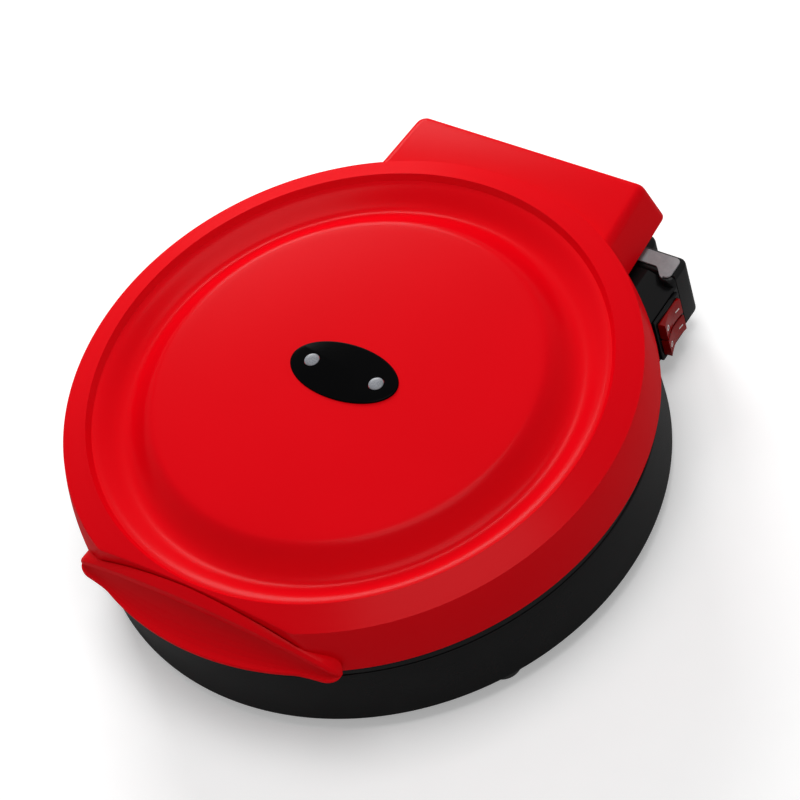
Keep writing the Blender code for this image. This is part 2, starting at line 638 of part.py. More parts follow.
def build_base(shop):
    """The base shell with its pillars, the rim ring and the rubber feet with their screws."""
    low, top = FOOT_HEIGHT, BASE_TOP_HEIGHT
    outline = [
        (0, low), (BASE_RADIUS - BASE_CHAMFER, low), (BASE_RADIUS, low + BASE_CHAMFER / 2),
        (BASE_TOP_RADIUS, top), (BASE_TOP_RADIUS - BASE_WALL, top),
        (BASE_RADIUS - BASE_CHAMFER - BASE_WALL, FLOOR_TOP), (0, FLOOR_TOP),
    ]
    shell = shop.piece("base_shell", turned(outline, FINE_STEPS), shop.black)
    shoulder = LOWER_PAN_BACK - GAP - PILLAR_NECK_LENGTH
    for index, (x, y) in enumerate(ring_places(PILLAR_COUNT, PILLAR_CIRCLE, math.pi / 2)):
        pillar = [
            (0, FLOOR_TOP - JOIN_OVERLAP), (PILLAR_RADIUS, FLOOR_TOP - JOIN_OVERLAP), (PILLAR_RADIUS, shoulder),
            (PILLAR_NECK_RADIUS, shoulder), (PILLAR_NECK_RADIUS, LOWER_PAN_BACK - GAP),
            (0, LOWER_PAN_BACK - GAP),
        ]
        pillar_work = turned(pillar, PIN_STEPS, (x, y, 0), phase_share=FUSE_PHASE_SHARE)
        shop.fuse(shell, f"pillar_{index}", pillar_work)
        well = FLOOR_TOP
        bore = [
            (0, low - CUT_OVERRUN), (PAN_SCREW_HEAD_RADIUS + GAP, low - CUT_OVERRUN),
            (PAN_SCREW_HEAD_RADIUS + GAP, well), (PAN_SCREW_RADIUS + GAP, well),
            (PAN_SCREW_RADIUS + GAP, LOWER_PAN_BACK + CUT_OVERRUN), (0, LOWER_PAN_BACK + CUT_OVERRUN),
        ]
        bore_work = turned(bore, PIN_STEPS, (x, y, 0), phase_share=CUT_PHASE_SHARE)
        shop.cut(shell, f"pillar_bore_{index}", bore_work)
        head = well - GAP - PAN_SCREW_HEAD
        screw = [
            (0, head), (PAN_SCREW_HEAD_RADIUS, head), (PAN_SCREW_HEAD_RADIUS, head + PAN_SCREW_HEAD),
            (PAN_SCREW_RADIUS, head + PAN_SCREW_HEAD), (PAN_SCREW_RADIUS, LOWER_PAN_BACK - GAP),
            (0, LOWER_PAN_BACK - GAP),
        ]
        shop.piece(f"pan_screw_{index + 1}", turned(screw, PIN_STEPS, (x, y, 0)), shop.steel)
    ring_low = top + GAP
    ring_top = ring_low + RIM_RING_HEIGHT
    ring = [
        (RIM_RING_BORE, ring_low), (BASE_TOP_RADIUS - RIM_RING_STEP, ring_low),
        (BASE_TOP_RADIUS - RIM_RING_STEP, ring_top - RIM_RING_CHAMFER),
        (BASE_TOP_RADIUS - RIM_RING_STEP - RIM_RING_CHAMFER, ring_top), (RIM_RING_BORE, ring_top),
    ]
    shop.piece("base_rim_ring", turned(ring, FINE_STEPS), shop.black)
    right_places = [circle_place(FOOT_CIRCLE, angle) for angle in (FOOT_FRONT_ANGLE, FOOT_REAR_ANGLE)]
    for index, (x, y) in enumerate(right_places):
        build_foot(shop, shell, 2 * index + 1, x, y)
        build_foot(shop, shell, 2 * index + 2, -x, y)
    return shell


def build_foot(shop, shell, number, x, y):
    """One round-ended foot under the base, its recessed screw, and the screw's hole in the base's floor."""
    top = FOOT_HEIGHT - GAP
    foot = [
        (FOOT_RECESS_RADIUS, 0), (FOOT_RADIUS - FOOT_ROUND, 0), (FOOT_RADIUS - FOOT_ROUND / 4, FOOT_ROUND / 2),
        (FOOT_RADIUS, FOOT_ROUND), (FOOT_RADIUS, top), (FOOT_SCREW_RADIUS + GAP, top),
        (FOOT_SCREW_RADIUS + GAP, FOOT_RECESS_DEPTH), (FOOT_RECESS_RADIUS, FOOT_RECESS_DEPTH),
    ]
    shop.piece(f"foot_{number}", turned(foot, SMALL_STEPS, (x, y, 0)), shop.rubber)
    head = FOOT_RECESS_DEPTH - GAP - FOOT_SCREW_HEAD
    tip = FLOOR_TOP + FOOT_SCREW_REACH
    screw = [
        (0, head), (FOOT_SCREW_HEAD_RADIUS, head), (FOOT_SCREW_HEAD_RADIUS, head + FOOT_SCREW_HEAD),
        (FOOT_SCREW_RADIUS, head + FOOT_SCREW_HEAD), (FOOT_SCREW_RADIUS, tip), (0, tip),
    ]
    shop.piece(f"foot_screw_{number}", turned(screw, PIN_STEPS, (x, y, 0)), shop.steel)
    hole_low = FOOT_HEIGHT - CUT_OVERRUN
    deep = BASE_FLOOR + 2 * CUT_OVERRUN
    hole = rod(FOOT_SCREW_RADIUS + GAP, hole_low, deep, PIN_STEPS, (x, y), phase_share=CUT_PHASE_SHARE)
    shop.cut(shell, f"foot_hole_{number}", hole)


def pan_outline(depth):
    """A pan's outline lying open side up, its rim's top at zero: rim, sloped wall, flat floor and underside."""
    rim = PAN_RADIUS - PAN_RIM_WIDTH
    floor = rim - PAN_WALL_SLOPE
    return [
        (PAN_RADIUS, -PAN_CORNER - PAN_THICKNESS), (PAN_RADIUS, 0), (rim, 0), (floor, -depth + PAN_CORNER / 2),
        (floor - PAN_CORNER, -depth), (0, -depth), (0, -depth - PAN_THICKNESS),
        (floor, -depth - PAN_THICKNESS), (rim + PAN_RIM_WIDTH / 4, -PAN_CORNER - PAN_THICKNESS),
    ]


def element_loop(height):
    """A heating element: a round tube on an open circle, its ends turned towards the hinge."""
    work = bmesh.new()
    open_half = ELEMENT_OPEN_ANGLE / 2
    route = []
    for step in range(ELEMENT_STEPS + 1):
        turn = math.pi / 2 + open_half + (math.tau - ELEMENT_OPEN_ANGLE) * step / ELEMENT_STEPS
        route.append(Vector((*circle_place(ELEMENT_CIRCLE, turn), height)))
    tail = Vector((0, ELEMENT_TAIL, 0))
    lead = Vector((0, ELEMENT_RADIUS * 2, 0))
    bend = Vector((ELEMENT_RADIUS, 0, 0))
    first_end = [route[0] + bend + tail, route[0] + bend + lead]
    second_end = [route[-1] - bend + lead, route[-1] - bend + tail]
    route = first_end + route + second_end
    rings = []
    for index, place in enumerate(route):
        before, after = route[max(index - 1, 0)], route[min(index + 1, len(route) - 1)]
        forward = (after - before).normalized()
        side = forward.cross(Vector((0, 0, 1)))
        ring = []
        for corner in range(ELEMENT_SIDES):
            turn = math.pi * (2 * corner + 1) / ELEMENT_SIDES
            offset = side * math.cos(turn) + Vector((0, 0, 1)) * math.sin(turn)
            ring.append(work.verts.new(place + offset * ELEMENT_RADIUS))
        rings.append(ring)
    for ring, after in zip(rings, rings[1:]):
        for index in range(ELEMENT_SIDES):
            other = (index + 1) % ELEMENT_SIDES
            work.faces.new((ring[index], ring[other], after[other], after[index]))
    work.faces.new(rings[0])
    work.faces.new(rings[-1])
    return work


def build_heat(shop, side, axis, back, way, shield_height, shield_radius):
    """One pan's element, shield, thermostat and fuse; way is -1 under the lower pan, 1 over the upper."""
    near = back + way * GAP
    facet = ELEMENT_RADIUS * math.cos(math.pi / ELEMENT_SIDES)
    shop.piece(f"{side}_heating_element", element_loop(near + way * facet), shop.steel, axis)
    inner, outer = shield_height, shield_height + way * SHIELD_THICKNESS
    lip = shield_height - way * SHIELD_LIP
    plate = [
        (SHIELD_HOLE_RADIUS, inner), (shield_radius - SHIELD_THICKNESS, inner),
        (shield_radius - SHIELD_THICKNESS, lip), (shield_radius, lip), (shield_radius, outer),
        (SHIELD_HOLE_RADIUS, outer),
    ]
    shield = shop.piece(f"{side}_heat_shield", turned(plate, PLAIN_STEPS), shop.tin, axis)
    body = near + way * THERMOSTAT_BODY
    cap = body + way * THERMOSTAT_CAP
    thermostat = [
        (0, near), (THERMOSTAT_RADIUS, near), (THERMOSTAT_RADIUS, body), (THERMOSTAT_CAP_RADIUS, body),
        (THERMOSTAT_CAP_RADIUS, cap), (0, cap),
    ]
    place = (THERMOSTAT_OFFSET, 0, 0)
    shop.piece(f"{side}_thermostat", turned(thermostat, SMALL_STEPS, place), shop.ceramic, axis)
    start = (-FUSE_OFFSET, -FUSE_LENGTH / 2)
    fuse = rod(FUSE_RADIUS, near + way * FUSE_RADIUS, FUSE_LENGTH, PIN_STEPS, start, (0, 1, 0))
    shop.piece(f"{side}_thermal_fuse", fuse, shop.ceramic, axis)
    return shield


def build_lower_pan(shop):
    """The lower pan and the heating parts under it; its shield sits on the pillars' shoulders."""
    top = PAN_MEET_HEIGHT - GAP
    outline = [(radius, top + rise) for radius, rise in pan_outline(LOWER_PAN_DEPTH)]
    shop.piece("lower_pan", turned(outline, FINE_STEPS), shop.pan_coating)
    shoulder = LOWER_PAN_BACK - GAP - PILLAR_NECK_LENGTH
    seat = shoulder + GAP + SHIELD_THICKNESS
    shield = build_heat(shop, "lower", shop.base_axis, LOWER_PAN_BACK, -1, seat, SHIELD_RADIUS)
    for index, (x, y) in enumerate(ring_places(PILLAR_COUNT, PILLAR_CIRCLE, math.pi / 2)):
        wide, low = PILLAR_NECK_RADIUS + GAP, seat - CUT_OVERRUN
        hole = rod(wide, low, 2 * CUT_OVERRUN, PIN_STEPS, (x, y), phase_share=CUT_PHASE_SHARE)
        shop.cut(shield, f"lower_shield_hole_{index}", hole)


def build_lid(shop, lid_axis):
    """The red lid: its turned shell and hinge cover in one, the handle, badge, lamps and inner ring."""
    shell = shop.piece("lid_shell", turned(closed_below(lid_outline(), 0), FINE_STEPS), shop.red, lid_axis)
    shop.fuse(shell, "cover_outside", cover_block(0, COVER_DROP))
    shop.cut(shell, "lid_inside", turned(closed_below(lid_inner_outline(), CUT_OVERRUN), FINE_STEPS))
    shop.cut(shell, "cover_inside", cover_block(COVER_WALL, COVER_DROP + CUT_OVERRUN))
    shop.cut(shell, "handle_seat", handle_loft(handle_seat_section, 1))
    for side in (-1, 1):
        middle = side * LEG_CENTRE
        half = LEG_WIDTH / 2 + NOTCH_SIDE_GAP
        low = (middle - half, PIN_REACH, LID_EDGE - 2 * CUT_OVERRUN)
        high = (middle + half, COVER_REAR_REACH + CUT_OVERRUN, NOTCH_TOP_HEIGHT)
        shop.cut(shell, f"leg_notch_{side + 1}", block(low, high))
    shop.piece("lid_handle", handle_loft(handle_section, HANDLE_TIP_SHRINK_SHARE), shop.red, lid_axis)
    seat = CROWN_HEIGHT - BADGE_SEAT
    grown = ellipse_outline(BADGE_HALF_LENGTH + GAP, BADGE_HALF_WIDTH + GAP, BADGE_STEPS)
    shop.cut(shell, "badge_seat", extruded(grown, seat, CROWN_HEIGHT + CUT_OVERRUN))
    outline = ellipse_outline(BADGE_HALF_LENGTH, BADGE_HALF_WIDTH, BADGE_STEPS)
    badge_low = seat + GAP
    badge_top = badge_low + BADGE_THICKNESS
    badge = shop.piece("badge_plate", extruded(outline, badge_low, badge_top), shop.gloss_black, lid_axis)
    for side, name in ((-1, "left"), (1, "right")):
        x = side * LAMP_OFFSET
        lens_low = badge_top + LENS_PROUD - LENS_LENGTH
        lens = rod(LENS_RADIUS, lens_low, LENS_LENGTH, SMALL_STEPS, (x, 0))
        shop.piece(f"lamp_lens_{name}", lens, shop.lens, lid_axis)
        lamp_low = lens_low - GAP - LAMP_LENGTH
        lamp = rod(LAMP_RADIUS, lamp_low, LAMP_LENGTH, PIN_STEPS, (x, 0))
        shop.piece(f"indicator_lamp_{name}", lamp, shop.glow, lid_axis)
        hole_low = CROWN_HEIGHT - 2 * LID_WALL - CUT_OVERRUN
        for target, part in ((shell, "lens_hole"), (badge, "badge_hole")):
            deep = 2 * LENS_LENGTH
            hole = rod(LENS_RADIUS + GAP, hole_low, deep, SMALL_STEPS, (x, 0), phase_share=CUT_PHASE_SHARE)
            shop.cut(target, f"{part}_{name}", hole)
    ring_low = LID_EDGE - LID_RING_DROP
    ring = [
        (PAN_RADIUS + GAP, ring_low), (LID_RING_RADIUS, ring_low),
        (LID_RING_RADIUS, ring_low + LID_RING_HEIGHT), (PAN_RADIUS + GAP, ring_low + LID_RING_HEIGHT),
    ]
    shop.piece("lid_inner_ring", turned(ring, FINE_STEPS), shop.black, lid_axis)
    return shell


def build_upper_pan(shop, shell, lid_axis):
    """The upper pan, open side down, with its heating parts; two pillars under the badge carry it."""
    low = PAN_MEET_HEIGHT + GAP
    outline = [(radius, low - rise) for radius, rise in pan_outline(UPPER_PAN_DEPTH)][::-1]
    shop.piece("upper_pan", turned(outline, FINE_STEPS), shop.pan_coating, lid_axis)
    seat = UPPER_PAN_BACK + GAP + ELEMENT_RADIUS * 2 + GAP
    build_heat(shop, "upper", lid_axis, UPPER_PAN_BACK, 1, seat, SHOULDER_RADIUS)
    foot = UPPER_PAN_BACK + GAP
    top = CROWN_HEIGHT - BADGE_SEAT - LID_SCREW_HEAD - GAP
    for index, side in enumerate((-1, 1)):
        place = (0, side * LID_SCREW_OFFSET)
        length = CROWN_HEIGHT - LID_WALL + JOIN_OVERLAP - foot
        pillar = rod(LID_PILLAR_RADIUS, foot, length, PIN_STEPS, place, phase_share=FUSE_PHASE_SHARE)
        shop.fuse(shell, f"lid_pillar_{index}", pillar)
        wide, slim = LID_SCREW_HEAD_RADIUS + GAP, LID_SCREW_RADIUS + GAP
        bore = [
            (0, foot - CUT_OVERRUN), (slim, foot - CUT_OVERRUN), (slim, top - GAP), (wide, top - GAP),
            (wide, CROWN_HEIGHT + CUT_OVERRUN), (0, CROWN_HEIGHT + CUT_OVERRUN),
        ]
        bore_work = turned(bore, PIN_STEPS, (*place, 0), phase_share=CUT_PHASE_SHARE)
        shop.cut(shell, f"lid_pillar_bore_{index}", bore_work)
        screw = [
            (0, foot), (LID_SCREW_RADIUS, foot), (LID_SCREW_RADIUS, top), (LID_SCREW_HEAD_RADIUS, top),
            (LID_SCREW_HEAD_RADIUS, top + LID_SCREW_HEAD), (0, top + LID_SCREW_HEAD),
        ]
        shop.piece(f"lid_screw_{index + 1}", turned(screw, PIN_STEPS, (*place, 0)), shop.steel, lid_axis)


def build_hinge(shop, carriage_axis, lid_axis):
    """The sliding legs and the pin, which lift together, and the brackets that hang the lid on the pin."""
    pin = rod(PIN_RADIUS, -PIN_HALF, 2 * PIN_HALF, PIN_STEPS)
    bmesh.ops.transform(pin, matrix=along_x(PIN_REACH, PIN_HEIGHT), verts=pin.verts)
    shop.piece("hinge_pin", pin, shop.steel, carriage_axis)
    for side, name in ((-1, "left"), (1, "right")):
        middle = side * LEG_CENTRE
        half = LEG_WIDTH / 2
        low = (middle - half, PIN_REACH - LEG_THICKNESS / 2, LEG_BOTTOM_HEIGHT)
        high = (middle + half, PIN_REACH + LEG_THICKNESS / 2, PIN_HEIGHT)
        leg = shop.piece(f"hinge_leg_{name}", block(low, high), shop.steel, carriage_axis)
        shop.fuse(leg, f"leg_eye_{name}", eye(LEG_EYE_RADIUS, middle, LEG_WIDTH))
        bore = eye(PIN_RADIUS + GAP, middle, LEG_WIDTH + 2 * CUT_OVERRUN, CUT_PHASE_SHARE)
        shop.cut(leg, f"leg_bore_{name}", bore)
        build_bracket(shop, name, middle, lid_axis)
        end = side * (PIN_HALF + COLLAR_LENGTH / 2 + GAP)
        shop.piece(f"pin_clip_{name}", eye(COLLAR_RADIUS, end, COLLAR_LENGTH), shop.steel, carriage_axis)


def along_x(reach, height):
    """The matrix that lays something drawn along Z about the origin along X, at a reach and a height."""
    return Matrix.Translation((0, reach, height)) @ Matrix.Rotation(math.pi / 2, 4, "Y")


def eye(radius, middle, width, phase_share=0.0):
    """A round boss about the hinge pin's line, of this width, its middle at a place across."""
    work = rod(radius, middle - width / 2, width, PIN_STEPS, phase_share=phase_share)
    bmesh.ops.transform(work, matrix=along_x(PIN_REACH, PIN_HEIGHT), verts=work.verts)
    return work


def build_bracket(shop, name, middle, lid_axis):
    """A bracket under the cover's top: a plate and two ears, one on each side of the leg, on the pin."""
    top = LID_EDGE + COVER_RISE - COVER_WALL - GAP
    rear = PIN_REACH + BRACKET_EYE_RADIUS
    front = rear - BRACKET_LENGTH
    inner = LEG_WIDTH / 2 + BRACKET_SIDE_GAP
    outer = inner + BRACKET_THICKNESS
    low = (middle - outer, front, top - BRACKET_THICKNESS)
    bracket = shop.piece(f"lid_bracket_{name}", block(low, (middle + outer, rear, top)), shop.steel, lid_axis)
    for way in (-1, 1):
        near, far = sorted((middle + way * inner, middle + way * outer))
        ear_low = (near, PIN_REACH - BRACKET_EYE_RADIUS, PIN_HEIGHT)
        ear_high = (far, rear, top - BRACKET_THICKNESS / 2)
        shop.fuse(bracket, f"ear_{name}_{way + 1}", block(ear_low, ear_high))
        round_end = eye(BRACKET_EYE_RADIUS, (near + far) / 2, BRACKET_THICKNESS)
        shop.fuse(bracket, f"ear_round_{name}_{way + 1}", round_end)
    bore = eye(PIN_RADIUS + GAP, middle, 2 * outer + 2 * CUT_OVERRUN, CUT_PHASE_SHARE)
    shop.cut(bracket, f"bracket_bore_{name}", bore)


def base_round_cutter(height):
    """A cylinder a shell's clearance outside the base, to cut what stands against it."""
    return rod(BASE_RADIUS + SHELL_GAP, 0, height, FINE_STEPS)


def build_housing(shop):
    """The hinge housing behind the base, with a blind slot for each leg, and the cord gland on its rear."""
    low = (-HOUSING_HALF, HOUSING_FRONT_REACH, HOUSING_BOTTOM_HEIGHT)
    high = (HOUSING_HALF, HOUSING_REAR_REACH, HOUSING_TOP_HEIGHT)
    rear = HOUSING_REAR_REACH - NEARNESS

    def rear_edge(edge):
        return any(vert.co.y > rear for vert in edge.verts)

    work = block(low, high, HOUSING_ROUND, 2, rear_edge)
    housing = shop.piece("hinge_housing", work, shop.black)
    shop.cut(housing, "housing_round", base_round_cutter(PIN_HEIGHT))
    for side, name in ((-1, "left"), (1, "right")):
        half = LEG_WIDTH / 2 + RUNNING_GAP
        deep = LEG_THICKNESS / 2 + RUNNING_GAP
        slot_low = (side * LEG_CENTRE - half, PIN_REACH - deep, LEG_BOTTOM_HEIGHT - GAP)
        slot_high = (side * LEG_CENTRE + half, PIN_REACH + deep, HOUSING_TOP_HEIGHT + CUT_OVERRUN)
        shop.cut(housing, f"leg_slot_{name}", block(slot_low, slot_high))
    seat = HOUSING_REAR_REACH - GLAND_SEAT
    outline = [
        (GLAND_BORE_RADIUS, GAP), (GLAND_RADIUS, GAP), (GLAND_RADIUS, GLAND_SEAT + GAP),
        (GLAND_FLANGE_RADIUS, GLAND_SEAT + GAP),
        (GLAND_FLANGE_RADIUS, GLAND_SEAT + GAP + GLAND_FLANGE),
        (GLAND_RADIUS, GLAND_SEAT + GLAND_PROUD), (GLAND_BORE_RADIUS, GLAND_SEAT + GLAND_PROUD),
    ]
    place = (GLAND_OFFSET, seat, GLAND_HEIGHT)
    shop.piece("cord_gland", turned(outline, SMALL_STEPS, place, (0, 1, 0)), shop.rubber)
    wide, deep = GLAND_RADIUS + GAP, GLAND_SEAT + CUT_OVERRUN
    hole = rod(wide, GLAND_HEIGHT, deep, SMALL_STEPS, place[:2], (0, 1, 0), CUT_PHASE_SHARE)
    shop.cut(housing, "gland_hole", hole)


def box_outline(inner, outer, low, grow):
    """The switch box's outline across (X, height): upright sides, a flat top and its slope to the outside."""
    top = BOX_TOP_HEIGHT - grow
    slope_low = BOX_TOP_HEIGHT - BOX_SLOPE_DROP - grow
    fillet = BOX_ROUND * BOX_FILLET_SHARE
    return [
        (inner, low), (outer - BOX_ROUND, low), (outer - fillet, low + fillet),
        (outer, low + BOX_ROUND), (outer, slope_low - BOX_ROUND / 2), (outer - BOX_ROUND / 2, slope_low),
        (BOX_SLOPE_START, top), (inner, top),
    ]


def tower_block(front):
    """The raised rear end of the switch box from a front reach to its rear, with rounded outer edges."""
    low = (BOX_INNER_REACH, front, BOX_BOTTOM_HEIGHT)
    high = (BOX_OUTER_REACH, BOX_REAR_REACH, BOX_TOP_HEIGHT)

    def outer_edge(edge):
        ends = [vert.co for vert in edge.verts]
        outside = all(end.x > BOX_OUTER_REACH - NEARNESS for end in ends)
        rear_top = all(end.y > BOX_REAR_REACH - NEARNESS and end.z > BOX_TOP_HEIGHT - NEARNESS for end in ends)
        seam = all(end.y < front + NEARNESS for end in ends)
        return (outside or rear_top) and not seam

    return block(low, high, BOX_ROUND, 2, outer_edge)


def pad_outline():
    """The grey pad's outline from above: straight at the inside, drawn forwards in an S at the outside."""
    inner = BOX_INNER_REACH + PAD_MARGIN
    outer = BOX_OUTER_REACH - PAD_MARGIN
    rear = BOX_REAR_REACH - PAD_MARGIN
    front = TOWER_FRONT_REACH + PAD_MARGIN / 2
    points = [(inner, PAD_STRAIGHT_REACH)]
    bend_start, bend_end = TOWER_INNER_REACH - 2 * PAD_MARGIN, TOWER_INNER_REACH + PAD_MARGIN
    points += [
        (bend_start + (bend_end - bend_start) * share, reach)
        for share, reach in eased((0, PAD_STRAIGHT_REACH), (1, front), 2 * PAD_CORNER_STEPS)
    ]
    corners = (((outer - PAD_CORNER, front + PAD_CORNER), -1), ((outer - PAD_CORNER, rear - PAD_CORNER), 0))
    for middle, start in corners:
        for step in range(PAD_CORNER_STEPS + 1):
            turn = (start + step / PAD_CORNER_STEPS) * math.pi / 2
            points.append((middle[0] + PAD_CORNER * math.cos(turn), middle[1] + PAD_CORNER * math.sin(turn)))
    points.append((inner, rear))
    return points


def build_switch_box(shop):
    """The switch box, its rear end cap, the grey pad on top, the twin rocker switch and the terminal block."""
    outline = box_outline(BOX_INNER_REACH, BOX_OUTER_REACH, BOX_BOTTOM_HEIGHT, 0)
    box = shop.piece("switch_box", extruded(outline, BOX_FRONT_REACH, BOX_SEAM_REACH, "Y"), shop.black)
    front_low = (TOWER_INNER_REACH, TOWER_FRONT_REACH, BOX_TOP_HEIGHT - 2 * BOX_SLOPE_DROP)
    front_high = (BOX_OUTER_REACH, BOX_SEAM_REACH, BOX_TOP_HEIGHT)

    def front_outer(edge):
        ends = [vert.co for vert in edge.verts]
        outside = all(end.x > BOX_OUTER_REACH - NEARNESS for end in ends)
        return outside and all(end.z > BOX_TOP_HEIGHT - NEARNESS for end in ends)

    shop.fuse(box, "tower_front", block(front_low, front_high, BOX_ROUND, 2, front_outer))
    inner, outer = BOX_INNER_REACH + BOX_WALL, BOX_OUTER_REACH - BOX_WALL
    hollow = box_outline(inner, outer, BOX_BOTTOM_HEIGHT + BOX_WALL, BOX_WALL)
    hollow_work = extruded(hollow, BOX_FRONT_REACH + BOX_WALL, BOX_SEAM_REACH + CUT_OVERRUN, "Y")
    shop.cut(box, "box_hollow", hollow_work)
    shop.cut(box, "box_round", base_round_cutter(PIN_HEIGHT))
    cap = shop.piece("switch_box_end_cap", tower_block(BOX_SEAM_REACH + GAP), shop.black)
    shop.cut(cap, "cap_round", base_round_cutter(PIN_HEIGHT))
    pad_low = BOX_TOP_HEIGHT + GAP
    shop.piece("switch_box_pad", extruded(pad_outline(), pad_low, pad_low + PAD_THICKNESS), shop.grey)
    build_switch(shop, box)


def build_switch(shop, box):
    """The bezel with its body, the two rockers on their pivots and the terminal block under the pan."""
    face = BOX_OUTER_REACH
    half_length, half_height = BEZEL_LENGTH / 2, BEZEL_HEIGHT / 2
    middle, height = BEZEL_CENTRE_REACH, BEZEL_CENTRE_HEIGHT
    body_half, body_rise = half_length - BEZEL_BODY_MARGIN, half_height - BEZEL_BODY_MARGIN
    low = (face + GAP, middle - half_length, height - half_height)
    high = (face + GAP + BEZEL_THICKNESS, middle + half_length, height + half_height)
    bezel = shop.piece("switch_bezel", block(low, high), shop.black)
    body_low = (face - BEZEL_BODY_DEPTH, middle - body_half, height - body_rise)
    body_high = (face + GAP + BEZEL_THICKNESS / 2, middle + body_half, height + body_rise)
    shop.fuse(bezel, "switch_body", block(body_low, body_high))
    gap = Vector((0, GAP, GAP))
    hole_low = Vector((face - BOX_WALL - CUT_OVERRUN, *body_low[1:])) - gap
    hole_high = Vector((face + CUT_OVERRUN, *body_high[1:])) + gap
    shop.cut(box, "switch_hole", block(hole_low, hole_high))
    front = face + GAP + BEZEL_THICKNESS
    pivot_x = front - ROCKER_PIVOT_DEPTH
    pocket_half = ROCKER_LENGTH / 2 + ROCKER_POCKET_GAP
    pitch = ROCKER_WIDTH / 2 + ROCKER_POCKET_GAP
    for way, name in ((1, "upper"), (-1, "lower")):
        centre = height + way * pitch
        rise = ROCKER_WIDTH / 2 + GAP
        pocket_low = (front - ROCKER_POCKET_DEPTH, middle - pocket_half, centre - rise)
        pocket_high = (front + CUT_OVERRUN, middle + pocket_half, centre + rise)
        shop.cut(bezel, f"rocker_pocket_{name}", block(pocket_low, pocket_high))
        pivot = shop.axis(f"rocker_{name}_axis", (pivot_x, middle, centre))
        half = ROCKER_LENGTH / 2
        proud = ROCKER_PIVOT_DEPTH + ROCKER_PROUD
        outline = [
            (proud, -half), (ROCKER_PIVOT_DEPTH + ROCKER_WAIST, 0), (proud, half), (0, half),
            (-ROCKER_BELLY, half * ROCKER_BELLY_SHARE), (-ROCKER_BELLY, -half * ROCKER_BELLY_SHARE), (0, -half),
        ]
        lean = Matrix.Rotation(ROCKER_TILT, 2)
        turned_points = [lean @ Vector(point) for point in outline]
        placed = [(pivot_x + point.x, middle + point.y) for point in turned_points]
        bottom = centre - ROCKER_WIDTH / 2
        work = extruded(placed, bottom, bottom + ROCKER_WIDTH)
        shop.piece(f"rocker_{name}", work, shop.rocker_red, pivot)
    side = TERMINAL_LENGTH / 2
    low = (-side, TERMINAL_REACH, FLOOR_TOP + GAP)
    high = (side, TERMINAL_REACH + TERMINAL_WIDTH, FLOOR_TOP + GAP + TERMINAL_HEIGHT)
    shop.piece("terminal_block", block(low, high), shop.nylon)


def main():
    """Builds every piece, from the base up to the lid and back to the switches."""
    clear_scene()
    shop = Workshop()
    carriage_axis = shop.axis("hinge_carriage_axis", (0, PIN_REACH, PIN_HEIGHT))
    lid_axis = shop.axis("lid_hinge_axis", (0, PIN_REACH, PIN_HEIGHT))
    build_base(shop)
    build_lower_pan(shop)
    shell = build_lid(shop, lid_axis)
    build_upper_pan(shop, shell, lid_axis)
    build_hinge(shop, carriage_axis, lid_axis)
    build_housing(shop)
    build_switch_box(shop)


main()
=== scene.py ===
"""The looks of a round double-sided pancake maker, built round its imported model."""

import json
import logging
import math
from dataclasses import dataclass, field
from enum import Enum

import bmesh
import bpy
import numpy as np
from mathutils import Matrix

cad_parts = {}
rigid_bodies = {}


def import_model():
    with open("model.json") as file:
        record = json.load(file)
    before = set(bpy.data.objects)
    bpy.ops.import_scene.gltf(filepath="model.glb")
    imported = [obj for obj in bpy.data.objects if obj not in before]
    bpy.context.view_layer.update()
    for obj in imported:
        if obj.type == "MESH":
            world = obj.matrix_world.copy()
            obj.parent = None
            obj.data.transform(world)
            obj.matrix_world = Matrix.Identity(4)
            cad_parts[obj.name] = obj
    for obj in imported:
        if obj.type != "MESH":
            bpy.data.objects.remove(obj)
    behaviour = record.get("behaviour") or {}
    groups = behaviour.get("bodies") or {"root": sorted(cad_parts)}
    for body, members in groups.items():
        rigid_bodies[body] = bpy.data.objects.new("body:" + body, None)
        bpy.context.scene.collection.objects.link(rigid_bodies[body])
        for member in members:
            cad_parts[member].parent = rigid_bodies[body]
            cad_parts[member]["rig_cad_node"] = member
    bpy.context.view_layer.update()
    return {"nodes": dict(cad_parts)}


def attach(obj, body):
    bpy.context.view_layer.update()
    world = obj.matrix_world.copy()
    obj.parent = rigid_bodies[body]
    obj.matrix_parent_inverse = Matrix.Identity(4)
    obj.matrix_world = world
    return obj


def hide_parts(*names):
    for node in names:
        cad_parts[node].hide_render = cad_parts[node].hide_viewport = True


LOG = logging.getLogger("pancake_maker")
MM = 0.001
AXIS_Y = -11.0
LID_EDGE = 58.0
LEG_PLACES = (-45.0, 45.0)
ROCKER_HEIGHTS = (36.4, 22.8)
WELD = 2e-6
THIN = 1e-6
NOISE_MIDDLE = (0.3, 0.7)
ROUGHNESS_FINER = 3.1
BUMP_HEIGHT = 0.0004

Pair = tuple[float, float]
Triple = tuple[float, float, float]
Node = bpy.types.Node
Socket = bpy.types.NodeSocket
Tree = bpy.types.NodeTree

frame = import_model()


class Body(Enum):
    """The moving bodies that a piece can ride on."""

    BASE = "base"
    CARRIAGE = "hinge_carriage"
    LID = "lid"
    UPPER_ROCKER = "rocker_upper_cap"
    LOWER_ROCKER = "rocker_lower_cap"


class Lay(Enum):
    """Which way a prism's height runs; its outline lies across it."""

    UP = (0, 1, 2)
    BACK = (0, 2, 1)
    OUT = (2, 0, 1)


# Surfaces: whole arrays of points in millimetres, measured from the lid's axis


@dataclass
class Surface:
    """Points and faces that together bound one closed shape."""

    points: np.ndarray
    quads: np.ndarray
    caps: list[np.ndarray] = field(default_factory=list)


